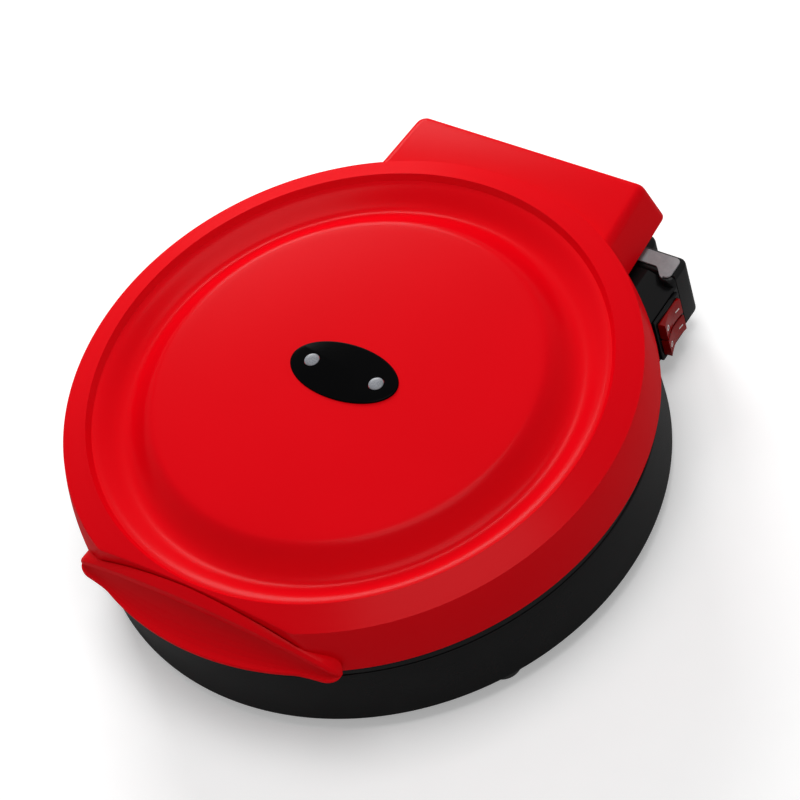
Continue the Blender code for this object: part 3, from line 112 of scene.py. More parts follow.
def arc_points(start: np.ndarray, end: np.ndarray, centre: np.ndarray, steps: int) -> np.ndarray:
    """Points on the circular arc between two points about a centre.

    Each is the centre plus the start and end spokes weighted by the sines of the shares of the angle.

    Args:
        start: First points, one row per arc.
        end: Last points, one row per arc.
        centre: Centres, one row per arc.
        steps: How many equal steps each arc has.

    Returns:
        An array of arcs by points by 2.
    """
    first, last = start - centre, end - centre
    length = np.maximum(np.linalg.norm(first, axis=1) * np.linalg.norm(last, axis=1), 1e-12)
    cosine = np.clip((first * last).sum(axis=1) / length, -1, 1)
    angle = np.maximum(np.arccos(cosine), 1e-6)[:, None, None]
    share = np.linspace(0, 1, steps + 1)[None, :, None]
    spokes = np.sin((1 - share) * angle) * first[:, None] + np.sin(share * angle) * last[:, None]
    return centre[:, None] + spokes / np.sin(angle)


def rounded_outline(corners: np.ndarray, radii: np.ndarray | float, steps: int = 6) -> np.ndarray:
    """A polygon with each corner replaced by an arc that touches both of its sides.

    The arc starts at the radius over the tangent of half the corner's angle from the corner, and its centre
    lies on the corner's bisector at the radius over the sine of half the angle.

    Args:
        corners: The polygon's corners, anticlockwise.
        radii: Each corner's radius, or one for all.
        steps: How many steps each arc has.

    Returns:
        The outline's points, in order.
    """
    before = np.roll(corners, 1, axis=0) - corners
    after = np.roll(corners, -1, axis=0) - corners
    before /= np.linalg.norm(before, axis=1)[:, None]
    after /= np.linalg.norm(after, axis=1)[:, None]
    half = np.arccos(np.clip((before * after).sum(axis=1), -1, 1)) / 2
    reach = (np.maximum(radii, 1e-4) / np.tan(half))[:, None]
    bisector = before + after
    bisector /= np.maximum(np.linalg.norm(bisector, axis=1), 1e-9)[:, None]
    centre = corners + bisector * (np.maximum(radii, 1e-4) / np.sin(half))[:, None]
    return arc_points(corners + before * reach, corners + after * reach, centre, steps).reshape(-1, 2)


def inset(corners: np.ndarray, distance: float) -> np.ndarray:
    """A polygon's corners moved inwards so that each side moves by the distance along its own normal."""
    side = np.roll(corners, -1, axis=0) - corners
    side /= np.linalg.norm(side, axis=1)[:, None]
    normal = np.stack([-side[:, 1], side[:, 0]], axis=1)
    previous = np.roll(normal, 1, axis=0)
    scale = 1 + (normal * previous).sum(axis=1)
    return corners + distance * (normal + previous) / scale[:, None]


def raised(flat: np.ndarray, height: float) -> np.ndarray:
    """An outline's points with a height as their third coordinate."""
    return np.concatenate([flat, np.full((len(flat), 1), height)], axis=1)


def stack(rings: np.ndarray, closed: bool = False) -> Surface:
    """Rings of equal point count joined in order into a tube, capped at both ends unless it closes on itself.

    Args:
        rings: An array of rings by points by 3.
        closed: Whether the last ring joins the first.

    Returns:
        The surface.
    """
    count, size = rings.shape[:2]
    index = np.arange(count * size).reshape(count, size)
    if closed:
        index = np.concatenate([index, index[:1]])
    near, far = index[:-1], index[1:]
    quads = np.stack([near, np.roll(near, -1, axis=1), np.roll(far, -1, axis=1), far], axis=-1).reshape(-1, 4)
    caps = [] if closed else [index[0][::-1], index[-1]]
    return Surface(rings.reshape(-1, 3), quads, caps)


def turned(profile: np.ndarray, steps: int, centre: Pair = (0.0, 0.0)) -> Surface:
    """A closed outline of (radius, height) points turned about an upright line.

    Each point is the centre plus the radius times the cosine and sine of the angle, at its height.

    Args:
        profile: The outline, without its first point repeated.
        steps: How many steps make the full turn.
        centre: The line's place.

    Returns:
        The surface, closed both ways.
    """
    angle = np.arange(steps) * math.tau / steps
    radius, height = profile[:, 0, None], profile[:, 1, None]
    x = centre[0] + radius * np.cos(angle)
    y = centre[1] + radius * np.sin(angle)
    return stack(np.stack([x, y, np.broadcast_to(height, x.shape)], axis=-1), closed=True)


def rounded_profile(points: list[Triple], steps: int = 5) -> np.ndarray:
    """A (radius, height) outline from corners given as radius, height and fillet."""
    data = np.array(points, float)
    return rounded_outline(data[:, :2], data[:, 2], steps)


def laid_on(surface: Surface, matrix: Matrix) -> Surface:
    """The surface with its points carried by a matrix in millimetres."""
    turn = np.array(matrix, float)
    surface.points = surface.points @ turn[:3, :3].T + turn[:3, 3]
    return surface


@dataclass
class Prism:
    """A solid with a rounded outline and rounded rims.

    Each rim is a quarter round. At an angle along it the outline is inset by the rim's radius times one minus
    the cosine and stands off its face by the radius times one minus the sine.
    """

    corners: np.ndarray
    radii: np.ndarray | float
    low: float
    high: float
    rim_low: float = 0.4
    rim_high: float = 0.4
    lay: Lay = Lay.UP
    top_corners: np.ndarray | None = None
    corner_steps: int = 6
    rim_steps: int = 4

    def ring(self, height: float, inwards: float) -> np.ndarray:
        """One ring at a height, its outline inset and, on a tapered prism, between the two given ones."""
        share = (height - self.low) / (self.high - self.low)
        top = self.corners if self.top_corners is None else self.top_corners
        corners = inset(self.corners + (top - self.corners) * share, inwards)
        flat = rounded_outline(corners, np.maximum(self.radii - inwards, 0.05), self.corner_steps)
        return raised(flat, height)[:, list(self.lay.value)]

    def surface(self) -> Surface:
        """The prism's closed surface."""
        turn = np.linspace(0, math.pi / 2, self.rim_steps + 1)
        fall, pull = 1 - np.sin(turn), 1 - np.cos(turn)
        lower = list(zip(self.low + self.rim_low * fall[::-1], self.rim_low * pull[::-1]))
        upper = list(zip(self.high - self.rim_high * fall, self.rim_high * pull))
        return stack(np.stack([self.ring(height, inwards) for height, inwards in lower + upper]))


def box_corners(low: Pair, high: Pair) -> np.ndarray:
    """The four corners of an upright rectangle, anticlockwise."""
    return np.array([low, (high[0], low[1]), high, (low[0], high[1])], float)


def rod(radius: float, low: float, high: float, steps: int, centre: Pair = (0.0, 0.0)) -> Surface:
    """An upright cylinder."""
    return turned(np.array([(0, low), (radius, low), (radius, high), (0, high)], float), steps, centre)


def base_clearance() -> Surface:
    """A cylinder a little wider than the base, which cuts its round into what stands against it."""
    return rod(159.0, 0, 60, 256)


def ellipse(half_length: float, half_width: float, steps: int) -> np.ndarray:
    """Points on an ellipse: the half axes times the cosine and sine of equal steps of angle."""
    angle = np.arange(steps) * math.tau / steps
    return np.stack([half_length * np.cos(angle), half_width * np.sin(angle)], axis=1)


# Finishes


def fill(node: Node, values: dict[str, object]) -> Node:
    """The node with values set on its named inputs."""
    for name, value in values.items():
        node.inputs[name].default_value = value
    return node


def mixed(tree: Tree, first: Triple, second: Triple, share: Socket) -> Node:
    """A mix of two colours.

    Args:
        tree: The material's tree.
        first: The colour where the share is 0.
        second: The colour where the share is 1.
        share: The output that gives the share.

    Returns:
        The mix's node.
    """
    made = tree.nodes.new("ShaderNodeMix")
    made.data_type = "RGBA"
    tree.links.new(share, made.inputs["Factor"])
    return fill(made, {"A": (*first, 1.0), "B": (*second, 1.0)})


@dataclass(frozen=True)
class Finish:
    """A moulded or painted surface: two near colours, a roughness range and a fine relief.

    The colour is mixed by a soft noise, the roughness follows a second noise, and the relief is a third one
    through a bump.
    """

    name: str
    colour: Triple
    colour_b: Triple
    roughness: Pair = (0.3, 0.4)
    metallic: float = 0.0
    patch_scale: float = 40.0
    grain_scale: float = 900.0
    grain_depth: float = 0.05
    coat: float = 0.0
    coat_roughness: float = 0.1
    specular: float = 0.5
    stretch: Triple = (1.0, 1.0, 1.0)

    def start(self) -> tuple[bpy.types.Material, Tree, Node, Node]:
        """A new material with its tree, its Principled shader and the point that its patterns read."""
        made = bpy.data.materials.new(self.name)
        made.use_nodes = True
        tree = made.node_tree
        shader = tree.nodes["Principled BSDF"]
        coordinates = tree.nodes.new("ShaderNodeTexCoord")
        place = fill(tree.nodes.new("ShaderNodeMapping"), {"Scale": self.stretch})
        tree.links.new(coordinates.outputs["Object"], place.inputs["Vector"])
        return made, tree, shader, place

    def noise(self, tree: Tree, place: Node, scale: float, detail: float) -> Node:
        """A noise texture on the pattern's point.

        Args:
            tree: The material's tree.
            place: The node that gives the pattern's point.
            scale: How fine the noise is.
            detail: How many finer layers it has.

        Returns:
            The noise's node.
        """
        made = fill(tree.nodes.new("ShaderNodeTexNoise"), {"Scale": scale, "Detail": detail})
        tree.links.new(place.outputs["Vector"], made.inputs["Vector"])
        return made

    def spread(self, tree: Tree, source: Socket, low: float, high: float) -> Node:
        """A Map Range that carries a noise's middle part to a range of its own.

        Args:
            tree: The material's tree.
            source: The noise's output.
            low: The new range's start.
            high: The new range's end.

        Returns:
            The Map Range's node.
        """
        made = fill(tree.nodes.new("ShaderNodeMapRange"), {
            "From Min": NOISE_MIDDLE[0], "From Max": NOISE_MIDDLE[1], "To Min": low, "To Max": high,
        })
        tree.links.new(source, made.inputs["Value"])
        return made

    def relief(self, tree: Tree, place: Node) -> Socket:
        """The height that the bump reads: a fine noise, as of a moulding tool or a paint film."""
        return self.noise(tree, place, self.grain_scale, 3.0).outputs["Fac"]

    def shade(self, tree: Tree, shader: Node, place: Node) -> None:
        """Anything that a finish adds to the common nodes."""

    def material(self) -> bpy.types.Material:
        """The finished node material."""
        made, tree, shader, place = self.start()
        link = tree.links.new
        fill(shader, {
            "Metallic": self.metallic, "Coat Weight": self.coat, "Coat Roughness": self.coat_roughness,
            "Specular IOR Level": self.specular,
        })
        patch = self.noise(tree, place, self.patch_scale, 2.0)
        share = self.spread(tree, patch.outputs["Fac"], 0.0, 1.0)
        mix = mixed(tree, self.colour, self.colour_b, share.outputs["Result"])
        link(mix.outputs["Result"], shader.inputs["Base Color"])
        rough = self.noise(tree, place, self.patch_scale * ROUGHNESS_FINER, 4.0)
        spread = self.spread(tree, rough.outputs["Fac"], *self.roughness)
        link(spread.outputs["Result"], shader.inputs["Roughness"])
        bump = fill(tree.nodes.new("ShaderNodeBump"), {"Strength": self.grain_depth, "Distance": BUMP_HEIGHT})
        link(self.relief(tree, place), bump.inputs["Height"])
        link(bump.outputs["Normal"], shader.inputs["Normal"])
        self.shade(tree, shader, place)
        return made


@dataclass(frozen=True)
class Grained(Finish):
    """A leathery moulded grain: cells from a Voronoi distance in place of the fine noise."""

    def relief(self, tree: Tree, place: Node) -> Socket:
        """The cells' distance field, smooth at its edges."""
        cells = tree.nodes.new("ShaderNodeTexVoronoi")
        cells.feature = "SMOOTH_F1"
        fill(cells, {"Scale": self.grain_scale})
        tree.links.new(place.outputs["Vector"], cells.inputs["Vector"])
        return cells.outputs["Distance"]


@dataclass(frozen=True)
class Clear(Finish):
    """A tinted plastic that passes some light."""

    passes: float = 0.3
    ior: float = 1.49

    def shade(self, tree: Tree, shader: Node, place: Node) -> None:
        """Sets how much light goes through."""
        fill(shader, {"Transmission Weight": self.passes, "IOR": self.ior})


FINISHES = (
    Finish(
        "red_lacquer", (0.78, 0.0010, 0.0060), (0.74, 0.0008, 0.0050), (0.30, 0.38),
        patch_scale=9.0, grain_scale=700.0, grain_depth=0.02, coat=0.09, coat_roughness=0.24, specular=0.0,
    ),
    Finish(
        "black_plastic", (0.0040, 0.0040, 0.0043), (0.0055, 0.0055, 0.0058), (0.24, 0.34),
        patch_scale=60.0, grain_scale=1500.0, grain_depth=0.05, coat=0.22, coat_roughness=0.22, specular=0.0,
    ),
    Finish(
        "badge_black", (0.0012, 0.0012, 0.0014), (0.0018, 0.0018, 0.0020), (0.10, 0.16),
        patch_scale=30.0, grain_scale=300.0, grain_depth=0.01, coat=0.04, coat_roughness=0.10, specular=0.0,
    ),
    # The pad's grey is a painted reflection: it stands for the light above mirrored in the switch box's
    # glossy black top.
    Grained(
        "grey_pad", (0.30, 0.30, 0.31), (0.25, 0.25, 0.26), (0.55, 0.70),
        patch_scale=300.0, grain_scale=1800.0, grain_depth=0.35,
    ),
    Clear(
        "lamp_lens", (0.30, 0.31, 0.34), (0.24, 0.25, 0.27), (0.22, 0.34),
        patch_scale=400.0, grain_scale=1200.0, grain_depth=0.10, specular=0.12, passes=0.12,
    ),
    Clear(
        "lamp_orange", (0.75, 0.26, 0.07), (0.70, 0.22, 0.05), (0.20, 0.30), passes=0.2,
    ),
    Clear(
        "rocker_red", (0.30, 0.002, 0.001), (0.24, 0.001, 0.001), (0.14, 0.22),
        patch_scale=150.0, grain_scale=500.0, grain_depth=0.02, coat=0.3, coat_roughness=0.12, specular=0.0,
        passes=0.0,
    ),
    Finish(
        "rocker_mark", (0.80, 0.79, 0.77), (0.74, 0.73, 0.71), (0.40, 0.50), grain_depth=0.02,
    ),
    Finish(
        "pan_coating", (0.020, 0.020, 0.021), (0.030, 0.030, 0.031), (0.36, 0.52),
        patch_scale=900.0, grain_scale=2600.0, grain_depth=0.22,
    ),
    Finish(
        "zinc_steel", (0.60, 0.61, 0.63), (0.52, 0.53, 0.55), (0.26, 0.40), metallic=1.0,
        patch_scale=120.0, grain_scale=900.0, grain_depth=0.06, stretch=(1.0, 1.0, 6.0),
    ),
    Finish(
        "element_steel", (0.40, 0.38, 0.36), (0.30, 0.28, 0.27), (0.35, 0.55), metallic=1.0,
        patch_scale=90.0,
    ),
    Finish(
        "tinplate", (0.66, 0.66, 0.64), (0.58, 0.58, 0.56), (0.24, 0.42), metallic=1.0,
        patch_scale=35.0, grain_scale=500.0, grain_depth=0.06,
    ),
    Finish(
        "ceramic", (0.66, 0.62, 0.53), (0.60, 0.56, 0.47), (0.45, 0.60), patch_scale=200.0,
    ),
    Finish(
        "white_nylon", (0.78, 0.78, 0.75), (0.72, 0.72, 0.69), (0.38, 0.50), patch_scale=150.0,
    ),
    Grained(
        "foot_rubber", (0.012, 0.012, 0.012), (0.018, 0.018, 0.018), (0.70, 0.85),
        patch_scale=120.0, grain_scale=1400.0, grain_depth=0.25,
    ),
)


# Making pieces


def added(name: str, data: bpy.types.ID) -> bpy.types.Object:
    """A new object in the scene that holds the data."""
    made = bpy.data.objects.new(name, data)
    bpy.context.scene.collection.objects.link(made)
    return made


class Bench:
    """Turns surfaces into named pieces that ride on their bodies."""

    def __init__(self) -> None:
        """Makes every finish's material, kept by the finish's name."""
        self.palette = {finish.name: finish.material() for finish in FINISHES}

    def mesh(self, name: str, surfaces: list[Surface]) -> bpy.types.Mesh:
        """One mesh of several closed surfaces, its doubles merged and its faces turned outwards.

        Args:
            name: The mesh's name.
            surfaces: The surfaces, in millimetres from the lid's axis.

        Returns:
            The mesh, in metres in the row's frame.
        """
        points, faces, start = [], [], 0
        for surface in surfaces:
            points.append((surface.points + (0.0, AXIS_Y, 0.0)) * MM)
            faces += (surface.quads + start).tolist() + [(cap + start).tolist() for cap in surface.caps]
            start += len(surface.points)
        data = bpy.data.meshes.new(name)
        data.from_pydata(np.concatenate(points), [], faces)
        work = bmesh.new()
        work.from_mesh(data)
        bmesh.ops.remove_doubles(work, verts=work.verts, dist=WELD)
        bmesh.ops.dissolve_degenerate(work, edges=work.edges, dist=THIN)
        bmesh.ops.recalc_face_normals(work, faces=work.faces)
        work.to_mesh(data)
        work.free()
        return data

    def carve(self, data: bpy.types.Mesh, cutters: list[Surface]) -> bpy.types.Mesh:
        """The mesh with the cutters taken out of it, each in one cut.

        Args:
            data: The mesh to cut.
            cutters: Closed surfaces, in millimetres from the lid's axis.

        Returns:
            The cut mesh.
        """
        target = added("carved", data)
        helpers = []
        for index, cutter in enumerate(cutters):
            helper = added(f"cutter_{index}", self.mesh(f"cutter_{index}", [cutter]))
            step = target.modifiers.new(helper.name, "BOOLEAN")
            step.operation = "DIFFERENCE"
            step.solver = "EXACT"
            step.object = helper
            helpers.append(helper)
        bpy.context.view_layer.update()
        graph = bpy.context.evaluated_depsgraph_get()
        cut = bpy.data.meshes.new_from_object(target.evaluated_get(graph))
        for gone in [target, *helpers]:
            bpy.data.objects.remove(gone, do_unlink=True)
        return cut

    def piece(
        self,
        name: str,
        surfaces: list[Surface],
        slot: str,
        body: Body,
        nodes: tuple[str, ...] = (),
        cutters: list[Surface] | None = None,
        sharp: float = 40.0,
    ) -> None:
        """slot: Its finish's name.
            surfaces: The closed surfaces that it is made of.
            slot: Its finish's name, which is also the record's material slot.
            body: The body that it rides on.
            nodes: The nodes that it stands for; without any it names no slot.
            cutters: What is cut out of it.
            sharp: The angle in degrees from which an edge is sharp.
        """
        data = self.mesh(name, surfaces)
        if cutters:
            data = self.carve(data, cutters)
            data.name = name
        data.materials.clear()
        data.materials.append(self.palette[slot])
        data.shade_smooth()
        data.set_sharp_from_angle(angle=math.radians(sharp))
        made = added(name, data)
        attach(made, body.value)
        if nodes:
            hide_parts(*nodes)
        LOG.info("%s: %d faces on %s", name, len(data.polygons), body.value)

    def dress(self, node: str, finish: str) -> None:
        """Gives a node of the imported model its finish."""
        data = frame["nodes"][node].data
        data.materials.clear()
        data.materials.append(self.palette[finish])
        LOG.info("%s: dressed in %s", node, finish)


# The lid


@dataclass
class LidShell:
    """The red lid: skirt, crease, ridge, moat and crowned dome, with the hinge cover as one moulding."""

    radius: float = 160.0
    wall: float = 2.6
    bow: float = 0.8
    crease: Pair = (156.0, 28.0)
    ridge: Pair = (142.0, 33.2)
    ridge_inside: Pair = (139.6, 29.8)
    moat: Pair = (123.0, 23.6)
    shoulder: Pair = (103.5, 34.2)
    crown: float = 36.7
    seat_reach: float = 143.4
    steps: int = 288
    cover_front: float = 130.0
    cover_rear: float = 185.0
    cover_rise: float = 22.0
    cover_foot: Pair = (84.5, 81.5)
    cover_top: Pair = (76.5, 73.5)
    cover_lean: float = 1.8
    seat_low: float = 4.4
    hollow_half: float = 72.0
    hollow_reach: float = 150.0

    def outer(self) -> np.ndarray:
        """The outer outline, from the edge to the crown.

        The skirt is a straight line bowed by a parabola and the band above it is straight. The moat's two
        sides are half cosine waves and the crown is a parabola.

        Returns:
            The outline's (radius, rise) points.
        """
        share = np.linspace(0, 1, 25)
        skirt = np.linspace((self.radius, 0), self.crease, len(share))
        skirt[:, 0] += self.bow * 4 * share * (1 - share)
        band = np.linspace(self.crease, self.ridge, 29)[1:]
        inner_slope = self.wave(self.ridge_inside, self.moat, 14)
        rise = self.wave(self.moat, self.shoulder, 14)[1:]
        radius = self.shoulder[0] * np.linspace(1, 0, 22)[1:]
        crown = np.stack([
            radius,
            self.shoulder[1] + (self.crown - self.shoulder[1]) * (1 - (radius / self.shoulder[0]) ** 2),
        ], axis=1)
        return np.concatenate([skirt, band, inner_slope, rise, crown])

    def wave(self, start: Pair, end: Pair, steps: int) -> np.ndarray:
        """Points along half a cosine wave from one (radius, rise) point to another."""
        share = np.linspace(0, 1, steps + 1)
        level = (1 - np.cos(math.pi * share)) / 2
        first, last = np.array(start), np.array(end)
        return first + (last - first) * np.stack([share, level], axis=1)

    def inner(self) -> np.ndarray:
        """The inner outline, a wall's thickness inside, from the crown back to the lid's edge."""
        return np.array([
            (0, self.crown - self.wall),
            (self.shoulder[0] - self.wall, self.shoulder[1] - self.wall),
            (self.moat[0], self.moat[1] - self.wall),
            (self.ridge[0], self.ridge_inside[1] - self.wall),
            (self.crease[0] - self.wall, self.crease[1] - self.wall),
            (self.radius - self.wall, 0),
        ])

    def shell(self) -> Surface:
        """The turned shell, flattened behind the handle and lifted clear of the hinge cover's hollow.

        A point in front of the seat's plane moves back to it and up to its lower edge. A skirt point inside
        the cover moves up to the underside of the cover's top.
        """
        outer, inner = self.outer(), self.inner()
        profile = np.concatenate([outer, inner])
        made = turned(profile, self.steps)
        points = made.points
        within = np.repeat(np.arange(len(profile)) >= len(outer), self.steps)
        plane = np.where(within, -self.seat_reach + self.wall, -self.seat_reach)
        ahead = points[:, 1] < plane
        points[:, 1] = np.where(ahead, plane, points[:, 1])
        points[:, 2] = np.where(ahead, np.maximum(points[:, 2], self.seat_low), points[:, 2])
        lift = self.cover_rise - self.wall / 2
        covered = (points[:, 1] > self.cover_front) & (np.abs(points[:, 0]) < self.hollow_half)
        covered &= (points[:, 2] < lift) & (np.hypot(points[:, 0], points[:, 1]) > self.hollow_reach)
        points[:, 2] = np.where(covered, lift, points[:, 2])
        points[:, 2] += LID_EDGE
        return made

    def cover(self, shrink: float, low: float, high: float) -> Surface:
        """The hinge cover's tapered block, made smaller all round by a shrink."""
        front = self.cover_front
        below, above = (
            np.array([
                (shrink - near, front), (near - shrink, front),
                (far - shrink, rear - shrink), (shrink - far, rear - shrink),
            ])
            for near, far, rear in (
                (*self.cover_foot, self.cover_rear), (*self.cover_top, self.cover_rear - self.cover_lean)
            )
        )
        radii = np.array([0.5, 0.5, 6.0, 6.0]) if not shrink else np.array([0.5, 0.5, 3.4, 3.4])
        return Prism(
            below, radii, LID_EDGE + low, LID_EDGE + high, 0.3, 4.0 if not shrink else 1.5,
            top_corners=above, corner_steps=8, rim_steps=6,
        ).surface()

    def build(self, bench: Bench) -> None:
        """Makes the shell and the cover."""
        bench.piece("lid_dome", [self.shell()], "red_lacquer", Body.LID, ("lid_shell",), sharp=24.0)
        notches = [
            Prism(box_corners((x - 7.6, 173.0), (x + 7.6, 190.0)), 0.4, 54.0, 71.0).surface()
            for x in LEG_PLACES
        ]
        hollow = self.cover(self.wall, -4.0, self.cover_rise - self.wall)
        bench.piece(
            "hinge_cover", [self.cover(0.0, -1.0, self.cover_rise)], "red_lacquer", Body.LID,
            ("lid_shell",), cutters=[hollow, *notches], sharp=30.0,
        )


@dataclass
class LidHandle:
    """The handle let into the lid's front: a lip on a hollow face that flares out to the floor side."""

    half: float = 84.0
    back: float = 143.8
    crest: float = 149.0
    tip_crest: float = 144.8
    front: float = 163.0
    tip_front: float = 147.5
    flare_from: float = 60.0
    crest_rise: float = 28.0
    tip_rise: float = 9.0
    top_rise: float = 3.4
    lip: float = 5.5
    undercut: float = 2.0
    foot: float = 2.6
    stations: int = 161
    nose: float = 8.0
    skirt: float = 160.0
    skirt_lean: float = 7.0
    step_reach: float = 156.8
    step_rise: float = 2.5

    def section(self, across: np.ndarray) -> np.ndarray:
        """The sections at places across the front, as (reach, rise) corners.

        The crest falls and draws in with the square of the share of the half width; the front follows its own
        circle, drawn in towards the tips with the power one and a half.
        """
        share = np.minimum(np.abs(across) / self.half, 1)
        back = np.minimum(self.back, np.sqrt((self.skirt + 0.2) ** 2 - across**2))
        crest = self.crest + (self.tip_crest - self.crest) * share**2
        rise = self.tip_rise + (self.crest_rise - self.tip_rise) * (1 - share**2)
        top = rise + self.top_rise * (1 - share)
        skirt = self.skirt - top / self.skirt_lean
        lean = np.minimum(self.back, np.sqrt(skirt**2 - across**2) - 0.4)
        step = np.maximum(back + 0.3, np.sqrt(self.step_reach**2 - across**2))
        flare = np.maximum(0, (np.abs(across) - self.flare_from) / (self.half - self.flare_from))
        gain = self.tip_front - math.sqrt(self.front**2 - self.half**2)
        front = np.sqrt(self.front**2 - across**2) + gain * flare**1.5
        lip = self.lip * (1 - share / 2)
        under = crest - self.undercut
        fall = rise - lip - 1.4
        run = front - under
        rows = [
            (step, 0), (step, self.step_rise), (back, self.step_rise), (lean, top),
            (crest - 1.6, rise + 0.5), (crest + 0.2, rise - 0.6), (crest + 0.7, rise - lip), (under, fall),
        ]
        for out in (0.09, 0.20, 0.33, 0.47, 0.62, 0.78, 0.92):
            rows.append((under + run * out, self.foot + (fall - self.foot) * (1 - out) ** 2.1))
        rows += [(front, self.foot), (front + 0.1, 0.9), (front - 0.7, 0)]
        return np.stack([np.stack([reach, height + 0 * share], axis=1) for reach, height in rows], axis=1)

    def surface(self) -> Surface:
        """The loft through the sections, their corners rounded, and drawn to a round nose at each tip.

        Near a tip a section shrinks about its middle, by the square root of one minus the square of how far
        it is along the nose.
        """
        turn = np.linspace(0, math.pi, self.stations)
        across = -self.half * np.cos(turn)
        corners = self.section(across)
        radii = np.array([0.4, 0.2, 0.2, 0.3, 0.8, 0.8, 0.8, 0.8] + [0.6] * 7 + [0.5, 0.5, 0.4])
        rings = np.stack([rounded_outline(ring, radii, 3) for ring in corners])
        left = np.clip((np.abs(across) - (self.half - self.nose)) / self.nose, 0, 1)
        shrink = np.sqrt(np.maximum(1 - left**2, 0.012))[:, None, None]
        middle = rings.mean(axis=1, keepdims=True) - (1.5, 1.0)
        rings = middle + (rings - middle) * shrink
        x = np.broadcast_to(across[:, None], rings.shape[:2])
        return stack(np.stack([x, -rings[..., 0], LID_EDGE + rings[..., 1]], axis=-1))

    def build(self, bench: Bench) -> None:
        """Makes the handle."""
        bench.piece("front_handle", [self.surface()], "red_lacquer", Body.LID, ("lid_handle",))


@dataclass
class BadgePlate:
    """The plain oval badge with its two lamps."""

    half_length: float = 33.0
    half_width: float = 17.5
    low: float = 94.0
    high: float = 95.6
    lamp_offset: float = 20.7
    lens_radius: float = 4.0

    def build(self, bench: Bench) -> None:
        """Makes the plate with a soft rim, and a low domed lens in each hole."""
        outline = ellipse(self.half_length, self.half_width, 96)
        turn = np.linspace(0, math.pi / 2, 5)
        levels = [(self.low, 0.3), (self.low + 0.3, 0.0)]
        levels += [(self.high - 0.7 * (1 - math.sin(t)), 0.7 * (1 - math.cos(t))) for t in turn]
        rings = [raised(inset(outline, inwards), height) for height, inwards in levels]
        holes = [rod(4.3, 92, 98, 48, (side * self.lamp_offset, 0)) for side in (-1, 1)]
        bench.piece(
            "badge_oval", [stack(np.stack(rings))], "badge_black", Body.LID, ("badge_plate",),
            cutters=holes, sharp=30.0,
        )
        for side, name in ((-1, "left"), (1, "right")):
            radius = self.lens_radius * np.linspace(1, 0, 9)
            dome = 96.1 - 0.55 * (radius / self.lens_radius) ** 4
            profile = np.concatenate([np.array([(0, 90.1), (4.0, 90.1)]), np.stack([radius, dome], axis=1)])
            bench.piece(
                f"lens_{name}", [turned(profile, 40, (side * self.lamp_offset, 0))], "lamp_lens", Body.LID,
                (f"lamp_lens_{name}",), sharp=50.0,
            )


@dataclass
class Pans:
    """The two coated pans and the rings round them."""

    radius: float = 143.0
    rim: float = 139.0
    floor: float = 133.0
    thickness: float = 3.0
    depths: Pair = (17.0, 12.0)
    seats: Pair = (55.0, 55.6)
    steps: int = 160

    def outline(self, depth: float) -> np.ndarray:
        """A pan's outline open side up: flat rim, sloped wall, flat floor and underside."""
        under = -depth - self.thickness
        return rounded_profile([
            (self.radius, -6, 0.5), (self.radius, 0, 0.8), (self.rim, 0, 1.2), (self.floor, -depth, 3.5),
            (0, -depth, 0.0), (0, under, 0.0), (self.floor, under, 3.0), (self.rim + 1, -6, 1.0),
        ])

    def build(self, bench: Bench) -> None:
        """Makes both pans and the lid's inner ring."""
        lower = self.outline(self.depths[0]) + (0, self.seats[0])
        bench.piece("lower_plate", [turned(lower, self.steps)], "pan_coating", Body.BASE, ("lower_pan",))
        upper = (self.outline(self.depths[1]) * (1, -1) + (0, self.seats[1]))[::-1]
        bench.piece("upper_plate", [turned(upper, self.steps)], "pan_coating", Body.LID, ("upper_pan",))
        ring = rounded_profile([
            (143.3, 57.2, 0.4), (156.5, 57.2, 0.5), (156.5, 60.2, 0.3), (143.3, 60.2, 0.3),
        ], 3)
        bench.piece("lid_ring", [turned(ring, self.steps)], "black_plastic", Body.LID, ("lid_inner_ring",))


@dataclass
class Base:
    """The black base: its bowl with a chamfered foot, the rim ring on top, and four rubber feet."""

    radius: float = 158.6
    top_radius: float = 157.4
    steps: int = 256
    pillar_circle: float = 118.0
    foot_circle: float = 144.0
    foot_angles: Pair = (-31.0, 55.0)

    def build(self, bench: Bench) -> None:
        """Makes the bowl, the ring and the feet."""
        bowl = rounded_profile([
            (0, 8.0, 0.0), (155.1, 8.0, 1.6), (self.radius, 10.6, 2.2), (self.top_radius, 49.0, 0.9),
            (154.9, 49.0, 0.3), (152.6, 10.5, 2.0), (0, 10.5, 0.0),
        ], 6)
        wells = [
            rod(3.9, 6, 10.2, 32, (self.pillar_circle * math.cos(turn), self.pillar_circle * math.sin(turn)))
            for turn in (math.pi / 2 + math.tau * step / 3 for step in range(3))
        ]
        bench.piece(
            "base_bowl", [turned(bowl, self.steps)], "black_plastic", Body.BASE, ("base_shell",),
            cutters=wells, sharp=35.0,
        )
        ring = rounded_profile([
            (143.6, 49.3, 0.3), (156.8, 49.3, 0.4), (156.8, 54.5, 0.9), (143.6, 54.5, 0.6),
        ], 4)
        bench.piece("rim_ring", [turned(ring, self.steps)], "black_plastic", Body.BASE, ("base_rim_ring",))
        foot = rounded_profile([
            (4.6, 0, 0.5), (10.0, 0, 2.6), (10.0, 7.7, 0.4), (2.1, 7.7, 0.0), (2.1, 4.0, 0.0),
            (4.6, 4.0, 0.0),
        ], 5)
        places = [(side, math.radians(degrees)) for degrees in self.foot_angles for side in (1, -1)]
        for number, (side, angle) in enumerate(places, 1):
            place = (side * self.foot_circle * math.cos(angle), self.foot_circle * math.sin(angle))
            bench.piece(
                f"rubber_foot_{number}", [turned(foot, 48, place)], "foot_rubber", Body.BASE,
                (f"foot_{number}",),
            )


